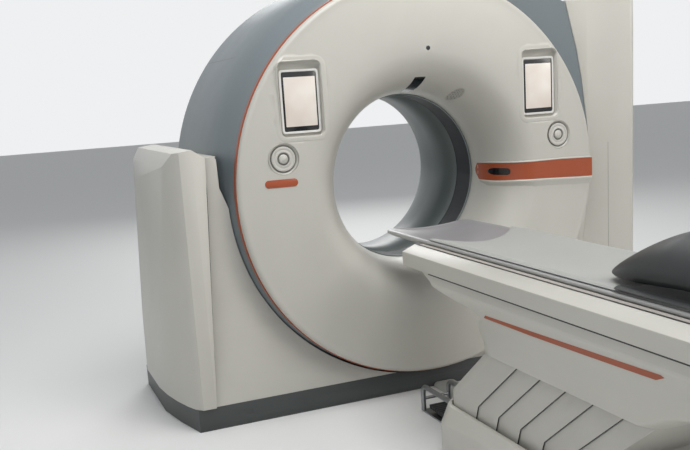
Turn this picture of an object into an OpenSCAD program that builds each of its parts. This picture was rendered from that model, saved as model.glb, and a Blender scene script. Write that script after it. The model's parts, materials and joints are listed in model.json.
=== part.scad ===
/* [Gantry] */
// Height of the isocentre above the floor
iso_h = 1010; // [1000:1:1030]
// Inner radius of the patient bore at the scan window
bore_r = 390; // [380:1:395]
// Wall of the moulded covers
wall = 5; // [4:0.5:6]
// Running gap between neighbouring covers
gap = 0.3; // [0.2:0.1:0.5]
// Radius of the front disc
disc_r = 906; // [900:1:912]
// Position of the front disc's rim along the bore
disc_y = -366; // [-372:1:-360]
// Radius of the drum band
band_r = 979; // [970:1:985]
// Rear end of the drum band along the bore
band_end = 530; // [520:1:540]
// Rear end of the tunnel along the bore
tunnel_end = 575; // [570:1:585]
// Radius where the rear flare of the tunnel ends
rear_flare_r = 457; // [450:1:465]
// Half length of the scan window along the bore
window_half = 70; // [60:1:75]

/* [Gantry base] */
// Half width of the gantry on the tower's side
half_w = 1190; // [1180:1:1200]
// Half width of the gantry on the low side
left_w = 1242; // [1235:1:1250]
// Height of the dark plinth
plinth_h = 104; // [95:1:112]
// Height of the left shoulder
shoulder_h = 1196; // [1180:1:1210]
// Height of the right tower
tower_h = 1800; // [1780:1:1820]
// Front face of the lower cover beside the disc
lower_y = -271; // [-276:1:-266]
// Radius of the cut-out that the disc sits in
cutout_r = 925; // [920:1:930]
// Height of the front edge of the lower cover's foot bulge
bulge_h = 430; // [400:10:460]
// Thickness of the floor plate
plate_t = 24; // [20:1:28]
// Hole spacing of the gantry floor bolts across the bore
bolt_x = 2000; // [1960:10:2040]
// Hole spacing of the gantry floor bolts along the bore
bolt_y = 640; // [620:10:660]
// Radius of the floor bolt holes
bolt_r = 9; // [7:0.5:10]

/* [Front controls] */
// Distance of each tablet from the bore axis plane
tablet_x = 599; // [590:1:605]
// Height of the tablet centres
tablet_z = 1403; // [1395:1:1410]
// Width of a tablet
tablet_w = 176; // [170:1:180]
// Height of a tablet
tablet_h = 267; // [260:1:275]
// Thickness of a tablet
tablet_t = 9; // [8:0.5:11]
// Depth of the pocket that a tablet sits in
pocket_d = 16; // [14:1:20]
// Distance of each control dish from the bore axis plane
dish_x = 698; // [690:1:705]
// Height of the control dish centres
dish_z = 1167; // [1160:1:1175]
// Outer radius of a control dish
dish_r = 68; // [64:1:72]
// Travel of the dish's ring pad
pad_travel = 2; // [1.5:0.5:3]
// Travel of the dish's centre button
button_travel = 3; // [2:0.5:4]

/* [Rotor] */
// Distance of the focal spot from the isocentre
focus_r = 595; // [585:1:600]
// Distance of the detector from the focal spot
detector_r = 1085; // [1080:1:1095]
// Number of detector modules
modules = 38; // [30:2:44]
// Outer radius of the rotating drum
drum_r = 850; // [840:1:855]
// Running gap of the main bearing
bearing_gap = 0.3; // [0.3:0.1:0.6]

/* [Table] */
// Half width of the table beam
beam_half = 318; // [312:1:324]
// Front end of the beam
beam_front = -713; // [-720:1:-705]
// Length of the beam
beam_l = 2067; // [2050:1:2080]
// Height of the beam's outer top edge
beam_top = 766; // [760:1:772]
// Half width of the tabletop
top_half = 217; // [210:1:222]
// Length of the tabletop
top_l = 2050; // [2000:10:2060]
// Front tip of the tabletop at rest
top_tip = -325; // [-335:1:-315]
// Height of the tabletop's edge
top_z = 804; // [800:1:808]
// Thickness of the mattress
mat_t = 14; // [10:1:18]
// Half width of the lifting covers
skirt_half = 288; // [284:1:292]
// Lean of the lifting arms and slats above the floor, in degrees
lean = 39.6; // [39:0.1:41]
// Length of a lifting arm between its pivots
arm_l = 557; // [550:1:562]
// Height of the lower pivots
pivot_z = 165; // [160:1:168]
// Distance between neighbouring slats
slat_pitch = 135; // [132:1:138]
// Place of the leaning covers' front at the height of the slats' bend
bow_y = -975; // [-980:1:-970]
// Place of the first seam between slats at the same height
seam_y = -1222; // [-1226:1:-1218]
// Height of the bend in the slats' edges
bend_z = 245; // [242:1:250]
// Layer thickness of a slat
slat_t = 3; // [2.5:0.5:3.5]
// Half width of the table's base cover
base_half = 345; // [340:1:350]
// Height of the base cover's shoulder
base_h = 150; // [140:1:155]
// Front end of the table base
base_front = -935; // [-940:1:-930]
// Length of the table base
base_l = 1135; // [1120:1:1150]

/* [Hidden] */
$fn = 96;
tiny = 0.01;

// Colours of the finishes
white_c = "#d9d6cc";
grey_c = "#8b9aa0";
dark_c = "#33373a";
rust_c = "#a4522f";
steel_c = "#9aa0a4";
black_c = "#15181b";

// Moves a child drawn about the Z axis onto the bore axis
module on_bore() {
    translate([0, 0, iso_h]) rotate([-90, 0, 0]) children();
}

// Solid of revolution about the bore, from a list of [radius, y] points
module turned(pts) {
    on_bore() rotate_extrude($fn = 180) polygon(pts);
}

// Plate drawn in the [x, z] plane that runs from y0 to y1
module facing(y0, y1) {
    translate([0, y1, 0]) rotate([90, 0, 0]) linear_extrude(y1 - y0) children();
}

// Beam drawn in the [y, z] plane that runs from x0 to x1
module across(x0, x1) {
    translate([x0, 0, 0]) rotate([90, 0, 90]) linear_extrude(x1 - x0) children();
}

// Both mirror images of a child about the table's middle plane
module both_sides() {
    children();
    mirror([1, 0, 0]) children();
}

// Rectangle with round corners, centred
module round_rect(w, h, r) {
    square([w - 2 * r, h], center = true);
    square([w, h - 2 * r], center = true);
    for (x = [-1, 1], y = [-1, 1])
        translate([x * (w / 2 - r), y * (h / 2 - r)]) circle(r);
}

// Points of an arc from angle a to angle b
function arc(cx, cy, r, a, b, n) = [for (i = [0:n]) let (t = a + (b - a) * i / n)
    [cx + r * cos(t), cy + r * sin(t)]];

// A point moved to the left of the way from p to q
function beside(p, q, d) = let (l = norm(q - p)) [-(q[1] - p[1]) / l * d, (q[0] - p[0]) / l * d];

// The same path moved sideways by d
function moved(path, d) = [for (i = [0:len(path) - 1])
    path[i] + beside(path[max(i - 1, 0)], path[min(i + 1, len(path) - 1)], d)];

// Closed outline of a skin of thickness d beside a path
function skin(path, d) = concat(path, [for (i = [len(path) - 1:-1:0]) moved(path, d)[i]]);

// Shape of the front disc from the tunnel outwards, as [radius, y]
liner_t = 6;
liner_r = bore_r + liner_t;
funnel_r = liner_r + gap;
funnel_y = -78;
face_r = 575;
face_y = disc_y - 31;
function funnel(n) = [for (i = [0:n]) let (t = i / n * 90)
    [face_r - (face_r - funnel_r) * cos(t), face_y + (funnel_y - face_y) * (1 - sin(t))]];
disc_path = concat(funnel(9), [[640, face_y], [720, face_y + 4], [800, face_y + 11], [860, face_y + 19]],
    arc(disc_r - 22, disc_y + 12, 22, -100, 0, 5), [[disc_r, disc_y + 14]]);

// Inner shape of the tunnel behind the scan window
liner_lip = rear_flare_r + 8;
rear_path = concat([[bore_r, window_half + gap], [bore_r, 330]],
    [for (i = [1:6]) let (t = i / 6 * 90)
        [rear_flare_r - (rear_flare_r - bore_r) * cos(t), 330 + (tunnel_end - 330) * sin(t)]],
    [[liner_lip, tunnel_end]]);

// Sections of the rim trim and of the drum band
trim_t = 10;
trim_y = disc_y + 14 + gap;
band_start = trim_y + 22;
band_path = [[disc_r + 4, band_start], [disc_r + 14, band_start + 60], [band_r - 22, -200],
    [band_r - 6, -110], [band_r, -20], [band_r, band_end - 30], [band_r - 8, band_end - 8],
    [band_r - 26, band_end]];

// Lower cover and towers
lower_depth = 530;
seam_low = 1071;
seam_high = 1017;
tower_crease = 1060;
side_front = disc_y + 6;
corner_r = 34;
cover_foot = plinth_h + gap;

// Places of the table's pieces
lean_y = cos(lean);
lean_z = sin(lean);
slat_top = 505;
foot_shift = 28;
function seam(k) = k == 0 ? bow_y : seam_y - slat_pitch * (k - 1);
function slat_y(k) = seam(k) + (k == 0 ? -59 : foot_shift - 16);
arm_pivots = [slat_y(1) - 70, slat_y(4) - 105];
arm_top = pivot_z + arm_l * lean_z;
arm_back = arm_l * lean_y;
beam_end = beam_front - beam_l;
inner_half = 258;
rail_top = 790;
crease_z = 468;
pin_r = 14;

// Floor frame of the gantry
frame_half = half_w - 18 - gap;
module base_frame() {
    color(dark_c) difference() {
        union() {
            linear_extrude(plate_t) polygon([[-frame_half, 510], [-frame_half, -150],
                [41 - frame_half, -290], [frame_half, -290], [frame_half, 510]]);
            for (x = [-980, 940]) translate([x, -280, plate_t]) cube([40, 770, 50]);
            translate([-940, 180, plate_t]) cube([1880, 120, 50]);
        }
        for (x = [-1, 1], y = [-1, 1])
            translate([x * bolt_x / 2, 100 + y * bolt_y / 2, -1]) cylinder(r = bolt_r, h = plate_t + 60);
    }
}

// Ring that carries the main bearing, on two legs
stator_y = 230;
stator_t = 40;
stator_in = 640;
stator_out = 885;
leg_x = 330;
module stator() {
    color("#5d6f7c") difference() {
        union() {
            turned([[stator_in, stator_y], [stator_out, stator_y], [stator_out, stator_y + stator_t],
                [stator_in, stator_y + stator_t]]);
            turned([[868, 112], [stator_out, 112], [stator_out, stator_y + 1], [868, stator_y + 1]]);
            for (s = [-1, 1]) {
                translate([s * leg_x - 90, stator_y, plate_t + 50]) cube([180, stator_t, 230]);
                translate([s * leg_x - 10, 190, plate_t + 50]) cube([20, 110, 70]);
            }
        }
        on_bore() translate([0, 0, 50]) cylinder(r = 867, h = 179, $fn = 180);
    }
}

bearing_in = 600;
module main_bearing() {
    color(steel_c) turned([[bearing_in + bearing_gap, 175], [bearing_in + 62, 175],
        [bearing_in + 62, stator_y], [stator_in, stator_y], [stator_in, stator_y + 15],
        [bearing_in + bearing_gap, stator_y + 15]]);
}

// Coil segments of the ring motor around the drum
module drive_coils() {
    color("#a86f3c") for (i = [0:23]) rotate_about_bore(i * 15)
        translate([drum_r + 3, 122, -60]) cube([12.6, 90, 120]);
}

module rotate_about_bore(a) {
    translate([0, 0, iso_h]) rotate([0, a, 0]) children();
}

// Brushes that feed the slip ring
module brush_block() {
    color(dark_c) translate([-90, 0, 0]) {
        translate([0, 330, iso_h + 552]) cube([180, 70, 60]);
        translate([40, stator_y + stator_t, iso_h + 612]) cube([100, 130, 14]);
        translate([40, stator_y + stator_t, iso_h + 626]) cube([100, 12, 60]);
    }
}

// Chiller that stands behind the left cover
cooler_x = 40 - half_w;
module cooling_unit() {
    color("#7d858a") difference() {
        translate([cooler_x, -200, plate_t]) cube([160, 560, 640]);
        for (z = [120:60:560]) translate([cooler_x - 1, -140, z]) cube([12, 440, 26]);
    }
}

plinth_t = 8;
plinth_front = lower_y - 41;
plinth_back = lower_depth - 4;
function plinth_plan(d) = [[d - left_w + 10, plinth_back - d], [d - left_w + 10, 60],
    [d - left_w + 45, -130], [d - left_w + 92, plinth_front + d], [half_w - 10 - d, plinth_front + d],
    [half_w - 10 - d, plinth_back - d]];
module plinth() {
    color(dark_c) difference() {
        linear_extrude(plinth_h) polygon(plinth_plan(0));
        translate([0, 0, -1]) linear_extrude(plinth_h + 2) polygon(plinth_plan(plinth_t));
        translate([leg_x, plinth_front - 1, 60]) rotate([-90, 0, 0]) cylinder(r = 4, h = plinth_t + 2);
        for (x = [-940, -690]) translate([x, plinth_front - 1, 40]) cube([34, 3, 22]);
    }
}

module front_cover() {
    color(white_c) difference() {
        union() {
            turned(skin(disc_path, wall));
            intersection() {
                for (s = [-1, 1]) translate([s * tablet_x, 0, 0]) tablet_pan();
                turned([[540, -430], [890, -430], [890, pocket_y + 1 + wall], [540, pocket_y + 1 + wall]]);
            }
        }
        for (s = [-1, 1]) {
            translate([s * tablet_x, 0, tablet_z + 10]) facing(-430, pocket_y)
                round_rect(pocket_w, pocket_h, 24);
            translate([s * dish_x, 0, dish_z]) facing(-430, -330) circle(dish_r + gap);
        }

        translate([11, 0, 1599]) facing(-430, -330) circle(10 + gap);
        slot_space(gap);
        translate([213, 0, 1388]) facing(-420, -180) circle(26 + gap);
    }
}

pocket_w = tablet_w + 18;
pocket_h = tablet_h + 47;
pocket_y = face_y + 8 + pocket_d + 7;
module tablet_pan() {
    translate([0, 0, tablet_z + 10]) facing(face_y + 6, pocket_y + wall)
        round_rect(pocket_w + 2 * wall, pocket_h + 2 * wall, 24 + wall);
}

// Thin skin that lies on the front disc
film = 1.7;
module disc_film() {
    turned(skin(moved(disc_path, -film - gap), film));
}

// Outline of the orange stripe on the right of the disc, in the [x, z] plane
stripe_pts = [[397.5, 1043], [416, 1045], [586, 1048], [704, 1047], [915, 1038],
    [915, 949], [702, 960], [584, 966], [494, 967], [416, 961], [397.5, 964]];
// The stripe with its blank rounded label on the left of the disc
module orange_band() {
    color(rust_c) difference() {
        intersection() {
            union() {
                facing(-430, -60) polygon(stripe_pts);
                translate([-716, 0, 1064]) rotate([0, -4, 0]) facing(-430, -330)
                    round_rect(145, 34, 16);
            }
            disc_film();
        }
        status_space(gap);
    }
}

// Space of the black status window in the stripe, where it runs into the funnel
module status_space(d) {
    translate([437, 0, 1005]) facing(-400, -150) round_rect(52 + 2 * d, 33 + 2 * d, 13);
}

module status_window() {
    color(black_c) intersection() {
        status_space(0);
        disc_film();
    }
}

// Space of the long laser window at the top of the funnel
module slot_space(d) {
    translate([-28 - d, -330 - d, iso_h + 300]) cube([56 + 2 * d, 172 + 2 * d, 260]);
}

module laser_windows() {
    color(black_c) {
        intersection() {
            slot_space(0);
            turned(skin(moved(disc_path, 0.5), 4));
        }
        translate([11, 0, 1599]) facing(face_y, face_y + 12) circle(10);
    }
}

// Small round grille on the funnel
module speaker_grille() {
    color("#b9b7ae") difference() {
        intersection() {
            translate([213, 0, 1388]) facing(-420, -180) circle(26);
            turned(skin(moved(concat(funnel(9), [[640, face_y]]), 0.4), 3.6));
        }
        for (i = [-2:2], j = [-2:2]) if (i * i + j * j < 6)
            translate([213 + i * 9, 0, 1388 + j * 9]) facing(-420, -180) circle(2.5, $fn = 24);
    }
}

module rim_trim() {
    color(rust_c) turned([[disc_r - trim_t, trim_y], [disc_r + 2, trim_y],
        [disc_r + 5, trim_y + 4], [disc_r + 5, band_start], [disc_r - trim_t, band_start]]);
}

module band_shell() {
    color(grey_c) difference() {
        turned(skin(band_path, wall));
        translate([-leg_x - 110, -200, 0]) cube([2 * leg_x + 220, 900, 140]);
        translate([-leg_x - 110, -400, 0]) cube([2 * leg_x + 220, 300, cover_foot + 1]);
        translate([-2, -200, iso_h + band_r - 3]) cube([4, 600, 20]);
    }
}

// Grey panel between the band and the tower, close behind the tower's front
infill_t = 6;
infill_y = lower_y + wall + gap;
function band_at(y) = lookup(y, [for (q = band_path) [q[1], q[0]]]);
tower_edge = [[band_r - 145, cover_foot], [band_r - 58, iso_h - 419], [band_r - 50, iso_h - 378],
    [band_r - 33, iso_h - 276], [band_r - 19, iso_h - 154], [band_r - 17, iso_h - 113],
    [band_r - 16, iso_h + 155], [band_r - 33, iso_h + 281], [band_r - 49, iso_h + 405],
    [band_r - 77, iso_h + 551], [band_r - 117, iso_h + 696], [band_r - 143, tower_h]];
lower_top = iso_h + 110;
roof_line = [[280, iso_h + 938], [700, iso_h + 850], [tower_edge[11][0] - gap, tower_h - 10]];
infill_face = concat(roof_line, [for (i = [10:-1:6]) [tower_edge[i][0] - gap, tower_edge[i][1]]],
    [[tower_edge[5][0] - gap, lower_top - 20], [700, lower_top - 20]]);
module infill_panel() {
    color(grey_c) {
        difference() {
            facing(infill_y, infill_y + infill_t) polygon(infill_face);
            on_bore() cylinder(r = band_at(infill_y + infill_t) + gap, h = 1200, center = true, $fn = 180);
        }
        difference() {
            union() {
                facing(infill_y, lower_depth) polygon(skin(roof_line, -wall));
                facing(lower_depth - wall, lower_depth) polygon(infill_face);
            }
            on_bore() cylinder(r = band_r + gap, h = 2000, center = true, $fn = 180);
        }
    }
}

// Front cover below the disc, with the left pillar's inner strip
function lower_profile(d) = [[lower_y - 41 + d, cover_foot], [lower_y - 22 + d, 250],
    [lower_y - 5 + d, bulge_h], [lower_y + d, 600], [lower_y + d, shoulder_h]];
module lower_cover(outer) {
    difference() {
        intersection() {
            across(-half_w, half_w) polygon(concat(lower_profile(0),
                [for (i = [4:-1:0]) lower_profile(wall)[i]]));
            facing(-400, 0) polygon(outer);
        }
        on_bore() translate([0, 0, -400]) cylinder(r = cutout_r, h = 400, $fn = 180);
    }
}
module lower_back(outer) {
    difference() {
        facing(lower_depth - wall, lower_depth) polygon(outer);
        on_bore() cylinder(r = band_r + gap, h = 2000, center = true, $fn = 180);
    }
}
module lower_left_cover() {
    color(white_c) {
        lower_cover([[-seam_low, cover_foot], [-gap, cover_foot], [-gap, 300], [-400, 300],
            [-900, 900], [-958, 1060], [-961, 1181], [-970, shoulder_h], [-seam_high, shoulder_h]]);
        lower_back([[gap - side_in, cover_foot], [-gap, cover_foot], [-gap, 400], [gap - side_in, iso_h - 50]]);
    }
}
module lower_right_cover() {
    color(white_c) {
        lower_cover(concat([[0, cover_foot]], [for (i = [0:5]) [tower_edge[i][0] - gap, tower_edge[i][1]]],
            [[tower_edge[5][0] - gap, lower_top], [tower_edge[5][0] - 57, lower_top], [400, 300], [0, 300]]));
        lower_back([[0, cover_foot], [tower_edge[0][0] - gap, cover_foot],
            [tower_edge[1][0] - gap, tower_edge[1][1]], [0, 400]]);
    }
}

// Plan of the low side's cover, drawn on the right
side_in = 980;
side_path = [[side_in, lower_y - 30], [left_w - 165, lower_y - 58], [left_w - 112, lower_y - 56],
    [left_w - 84, lower_y - 24], [left_w - 62, -236], [left_w - 34, -132], [left_w - 13, -20],
    [left_w, 110], [left_w, lower_depth - 90], [left_w - 14, lower_depth - 34],
    [left_w - 50, lower_depth - 6], [left_w - 90, lower_depth], [side_in, lower_depth]];
// Front view of the same cover, which leans along its seam and rises towards its side
function side_front_view(d) = [[seam_low + gap, cover_foot - (d > 0 ? 1 : 0)],
    [left_w + 1 - d, cover_foot - (d > 0 ? 1 : 0)], [left_w - 55 - d, shoulder_h - 30],
    [left_w - 88, shoulder_h + 28 - d], [seam_high + 60, shoulder_h + 38 - d],
    [seam_high + gap, shoulder_h - d]];
module left_side_cover() {
    color(white_c) mirror([1, 0, 0]) {
        difference() {
            intersection() {
                linear_extrude(tower_h) polygon(side_path);
                facing(-500, 700) polygon(side_front_view(0));
            }
            intersection() {
                linear_extrude(tower_h) polygon(concat([[900, side_path[0][1] + wall]],
                    moved(side_path, wall), [[900, lower_depth - wall]]));
                facing(-500, 700) polygon(concat(side_front_view(wall), [[900, shoulder_h - wall],
                    [900, cover_foot - 1]]));
            }
        }
        difference() {
            facing(lower_y + wall + gap, lower_depth) translate([900, shoulder_h - wall])
                square([seam_high - 900 + gap + tiny, wall]);
            on_bore() cylinder(r = band_r + gap, h = 2000, center = true, $fn = 180);
        }
    }
}

// Inner edge of the tower, in the [x, z] plane
module tower_solid(d) {
    intersection() {
        translate([0, 0, cover_foot - d]) linear_extrude(tower_h - cover_foot)
            polygon(concat([[760, lower_y + d], [964, lower_y + d]], [[tower_crease, -316 + d]],
                arc(half_w - corner_r, side_front + corner_r, corner_r - d, -100, 0, 5),
                arc(half_w - corner_r, lower_depth - corner_r, corner_r - d, 0, 90, 5),
                [[760, lower_depth - d]]));
        facing(-500, 700) polygon(concat(
            [for (p = tower_edge) [p[0] + d, p[1] - (p[1] == tower_h || p[1] == cover_foot ? d : 0)]],
            [[half_w - 18 - d, tower_h - d], [half_w - d, tower_h - 260], [half_w - d, cover_foot - d]]));
    }
}

module right_tower() {
    color(white_c) difference() {
        tower_solid(0);
        tower_solid(wall);
        turned([[0, -500], [cutout_r, -500], [cutout_r, lower_y + wall + 1], [band_r + gap, -180],
            [band_r + gap, 700], [0, 700]]);
        facing(-200, 490) polygon([[700, cover_foot - 1], [tower_edge[0][0] + wall + 2, cover_foot - 1],
            [tower_edge[3][0] + wall + 2, tower_edge[3][1]], [700, tower_edge[3][1]]]);
    }
}

module rear_cover() {
    color(white_c) turned([[band_r - 26, band_end + gap], [band_r - 40, band_end + 12], [820, band_end + 26],
        [640, band_end + 36], [rear_flare_r + 30, tunnel_end - 2], [liner_lip + gap, tunnel_end],
        [liner_lip + gap, tunnel_end - wall], [rear_flare_r + 30, tunnel_end - wall - 2],
        [640, band_end + 36 - wall], [820, band_end + 26 - wall], [band_r - 44, band_end + 12 - wall],
        [band_r - 31, band_end + gap]]);
}

module tunnel_liner() {
    color("#7c8789") {
        turned([[bore_r, funnel_y], [bore_r, -window_half - gap], [liner_r, -window_half - gap],
            [liner_r, funnel_y]]);
        turned(skin(rear_path, -liner_t));
    }
}

module scan_window() {
    color("#12202b") turned([[bore_r + 2, -window_half], [bore_r + 2, window_half],
        [bore_r + 5, window_half], [bore_r + 5, -window_half]]);
}

module tablet(s) {
    color("#e8e6e0") difference() {
        translate([s * tablet_x, 0, tablet_z]) facing(tablet_y, tablet_y + tablet_t)
            round_rect(tablet_w, tablet_h, 14);
        translate([s * tablet_x, 0, tablet_z]) facing(tablet_y - 1, tablet_y + 2)
            round_rect(tablet_w - 18, tablet_h - 18, 5);
    }
}
tablet_y = pocket_y - tablet_t;
module left_tablet() { tablet(-1); }
module right_tablet() { tablet(1); }
module tablet_screens() {
    color("#e6d8cc") for (s = [-1, 1])
        translate([s * tablet_x, 0, tablet_z]) facing(tablet_y + 0.2, tablet_y + 2)
            round_rect(tablet_w - 18.6, tablet_h - 18.6, 5);
}

// Control dish: a shallow round pan with a raised lip and the guides of its pad and button
dish_y = face_y + 8;
stem_r = 6;
guide_r = 3;
fit = 0.05;
module at_dish(s) {
    translate([s * dish_x, 0, dish_z]) rotate([-90, 0, 0]) translate([0, 0, dish_y]) children();
}
module dish(s) {
    color("#c9c7bf") at_dish(s) difference() {
        rotate_extrude() polygon([[stem_r + fit, 14], [dish_r, 14], [dish_r, -2], [dish_r - 1.5, -3],
            [dish_r - 3, -3], [dish_r - 7, 2], [dish_r - 12, 6], [31, 6], [31, 9],
            [24, 9], [24, 7], [stem_r + fit, 7]]);
        for (x = [-40, 40]) translate([x, 0, 4]) cylinder(r = guide_r + fit, h = 12, $fn = 32);
    }
}
module left_dish() { dish(-1); }
module right_dish() { dish(1); }
// Ring pad with four raised marks and two guide pins
module pad(s) {
    color("#dcdad2") at_dish(s) {
        rotate_extrude() polygon([[27, 0], [29, -2], [50, -2], [53, 0], [53, 6 - pad_travel - gap],
            [27, 6 - pad_travel - gap]]);
        for (a = [0:90:270]) rotate(a) translate([40, 0, -2.8]) cylinder(r = 3.5, h = 1.2);
        for (x = [-40, 40]) translate([x, 0, 2]) cylinder(r = guide_r, h = 10, $fn = 32);
    }
}
module left_pad() { pad(-1); }
module right_pad() { pad(1); }
// Round button on a stem
module button(s) {
    color(black_c) at_dish(s)
        rotate_extrude() polygon(concat([[0, 12], [stem_r, 12], [stem_r, 7 - button_travel - gap],
            [20, 7 - button_travel - gap]], [for (i = [0:6]) [20 * cos(i * 15), -1 - 6 * sin(i * 15)]]));
}
module left_button() { button(-1); }
module right_button() { button(1); }

// Drum plate with its hub, which turns inside the main bearing
module rotor_drum() {
    color("#6f7a80") difference() {
        union() {
            turned([[430, 128], [drum_r, 128], [drum_r, 205], [drum_r - 12, 205], [drum_r - 12, 152],
                [bearing_in, 152], [bearing_in, 262], [520, 262], [520, 300], [500, 300], [500, 152],
                [430, 152]]);
        }
        for (a = [0:30:330]) rotate_about_bore(a + 15) translate([0, 0, 720])
            facing(120, 160) circle(42);
    }
}

module slip_ring() {
    color("#b08d57") turned([[520, 262 + gap], [545, 262 + gap], [545, 300], [550, 300], [550, 312], [545, 312],
        [545, 322], [550, 322], [550, 334], [545, 334], [545, 344], [550, 344], [550, 356], [545, 356],
        [545, 366], [550, 366], [550, 378], [545, 378], [545, 390], [500, 390], [500, 300 + gap],
        [520, 300 + gap]]);
}

module xray_tube() {
    color("#b9bdc0") translate([0, 0, iso_h + focus_r + 45]) difference() {
        union() {
            rotate([-90, 0, 0]) translate([0, 0, -150]) rotate_extrude() polygon([[0, 0], [70, 0], [112, 30],
                [112, 220], [90, 240], [90, 278], [0, 278]]);
            translate([-90, 60, -40]) cube([180, 68, 60]);
            translate([-50, -40, -118]) cube([100, 80, 60]);
        }
    }
}

module heat_exchanger() {
    color("#7f8b92") rotate_about_bore(62) translate([0, 0, 610]) {
        translate([-180, -110, 0]) cube([360, 238, 60]);
        for (i = [0:11]) translate([-170 + i * 29, -100, 60]) cube([8, 220, 110]);
    }
}

module generator() {
    color("#566069") rotate_about_bore(-62) translate([0, 0, 600]) {
        translate([-190, -120, 0]) cube([380, 248, 170]);
        for (x = [-150, 110]) translate([x, -90, 170]) cube([40, 180, 25]);
    }
}

// Focused detector: modules on an arc about the focal spot, with fins in front of each
fan = 52;
module detector_arc() {
    color("#43515c") translate([0, 0, iso_h + focus_r]) {
        intersection() {
            rotate([-90, 0, 0]) difference() {
                translate([0, 0, -70]) cylinder(r = detector_r + 46, h = 198, $fn = 240);
                translate([0, 0, -71]) cylinder(r = detector_r + 22, h = 200, $fn = 240);
            }
            facing(-80, 130) polygon([[0, 0], [-1300 * sin(fan / 2), -1300 * cos(fan / 2)], [0, -1400],
                [1300 * sin(fan / 2), -1300 * cos(fan / 2)]]);
        }
        for (i = [0:modules - 1]) rotate([0, (i - (modules - 1) / 2) * fan / modules, 0])
            translate([-11, -60, -detector_r - 23]) cube([22, 120, 24]);
    }
}

module collimator() {
    color("#8d9296") translate([0, 0, iso_h]) difference() {
        translate([-90, -60, 440]) cube([180, 188, focus_r - 73 - 440]);
        translate([-60, -12, 430]) cube([120, 24, 100]);
    }
}

// Welded table base with the lower pivots of the arms and slats
module table_base() {
    color(dark_c) difference() {
        union() {
            linear_extrude(plate_t) polygon(well(gap));
            both_sides() translate([inner_half - 16, slat_y(5) - 60, 0])
                cube([12, slat_y(0) - slat_y(5) + 100, pivot_z + 22]);
            both_sides() for (y = arm_pivots) translate([150, y - 50, 0]) cube([24, 100, pivot_z + 34]);
        }
        for (k = [0:5]) translate([0, slat_y(k), pivot_z]) rotate([0, 90, 0])
            cylinder(r = 6.05, h = 1000, center = true, $fn = 48);
        for (y = arm_pivots) translate([0, y, pivot_z]) rotate([0, 90, 0])
            cylinder(r = pin_r + 0.05, h = 400, center = true, $fn = 48);
        for (x = [-1, 1], y = [60, base_l - 60]) translate([x * 210, base_front - y, -1])
            cylinder(r = bolt_r, h = plate_t + 2);
    }
}

well_corners = [[skirt_half + 4, 33], [skirt_half + 4, 85], [skirt_half + 4, base_l - 26]];
function well(d) = concat(
    [for (i = [0:2]) [well_corners[i][0] - d, base_front - well_corners[i][1] - (i < 2 ? d : -d)]],
    [for (i = [2:-1:0]) [d - well_corners[i][0], base_front - well_corners[i][1] - (i < 2 ? d : -d)]]);
base_corners = [[40, 0], [0, 60], [0, base_l - 60], [60, base_l]];
// Base cover with chamfered shoulders round the well of the slats
module base_cover() {
    color(white_c) difference() {
        intersection() {
            facing(base_front - base_l, base_front) polygon([[-base_half, 2], [base_half, 2],
                [base_half, base_h], [base_half - 35, base_h + 46], [-base_half + 35, base_h + 46],
                [-base_half, base_h]]);
            across(-base_half, base_half) polygon([[base_front, 2], [base_front, base_h],
                [base_front - 22, base_h + 46], [base_front - base_l + 30, base_h + 46],
                [base_front - base_l, base_h], [base_front - base_l, 2]]);
            linear_extrude(400) polygon(concat(
                [for (q = base_corners) [q[0] - base_half, base_front - q[1]]],
                [for (i = [3:-1:0]) [base_half - base_corners[i][0], base_front - base_corners[i][1]]]));
        }
        translate([0, 0, 1]) linear_extrude(400) polygon(well(0));
        translate([-base_half + wall, base_front - base_l + 70, 1])
            cube([2 * (base_half - wall), base_l - 200, base_h - wall]);
    }
}

// Flat duct for the cables from the gantry to the table
module floor_duct() {
    color("#bdbcb4") difference() {
        across(-30, 150) polygon([[-312 - gap, 0], [-312 - gap, 50], [-350, 78], [base_front + 40, 78],
            [base_front + gap, 90], [base_front + gap, 0]]);
        translate([-22, base_front - 5, -1]) cube([164, 640, 70]);
    }
}

// Bent tube guard over the foot pedal, on a floor tray
guard_r = 11;
guard_bend = 30;
guard_x = [-190, -60];
guard_h = 120;
guard_y = -590;
module guard_tube(l) {
    cylinder(r = guard_r, h = l, $fn = 32);
}
module foot_guard() {
    color("#6d7072") {
        translate([guard_x[0] - 6, base_front + gap, 0])
            cube([guard_x[1] - guard_x[0] + 12, guard_y - base_front + 4, 8]);
        for (x = guard_x) {
            translate([x, guard_y, 7]) guard_tube(guard_h - guard_bend - 7);
            translate([x, base_front + gap, guard_h]) rotate([-90, 0, 0])
                guard_tube(guard_y - base_front - gap - guard_bend);
            translate([x, guard_y - guard_bend, guard_h - guard_bend]) rotate([90, 0, 90])
                rotate_extrude(angle = 90, $fn = 48) translate([guard_bend, 0]) circle(guard_r, $fn = 32);
            translate([x - 4, 0, 0]) difference() {
                translate([0, pedal_y - 14, 7]) cube([8, 28, 31]);
                translate([-1, pedal_y, pedal_z]) rotate([0, 90, 0])
                    cylinder(r = pedal_pin + 0.05, h = 10, $fn = 32);
            }
        }
        translate([guard_x[0], guard_y, guard_h / 2]) rotate([0, 90, 0])
            cylinder(r = guard_r - 4, h = guard_x[1] - guard_x[0], $fn = 32);
    }
}

// Pedal hinged at its heel between two ears of the tray
pedal_y = -900;
pedal_z = 24;
pedal_pin = 5;
module foot_pedal() {
    color(black_c) {
        across(guard_x[0] + 10, guard_x[1] - 10) polygon([[pedal_y - 10, 20], [pedal_y + 12, 13],
            [pedal_y + 60, 14], [guard_y - 40, 24], [guard_y - 36, 40], [pedal_y + 60, 34],
            [pedal_y, 34], [pedal_y - 10, 30]]);
        translate([guard_x[0] - 3, pedal_y, pedal_z]) rotate([0, 90, 0])
            cylinder(r = pedal_pin, h = guard_x[1] - guard_x[0] + 6, $fn = 32);
    }
}

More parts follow.
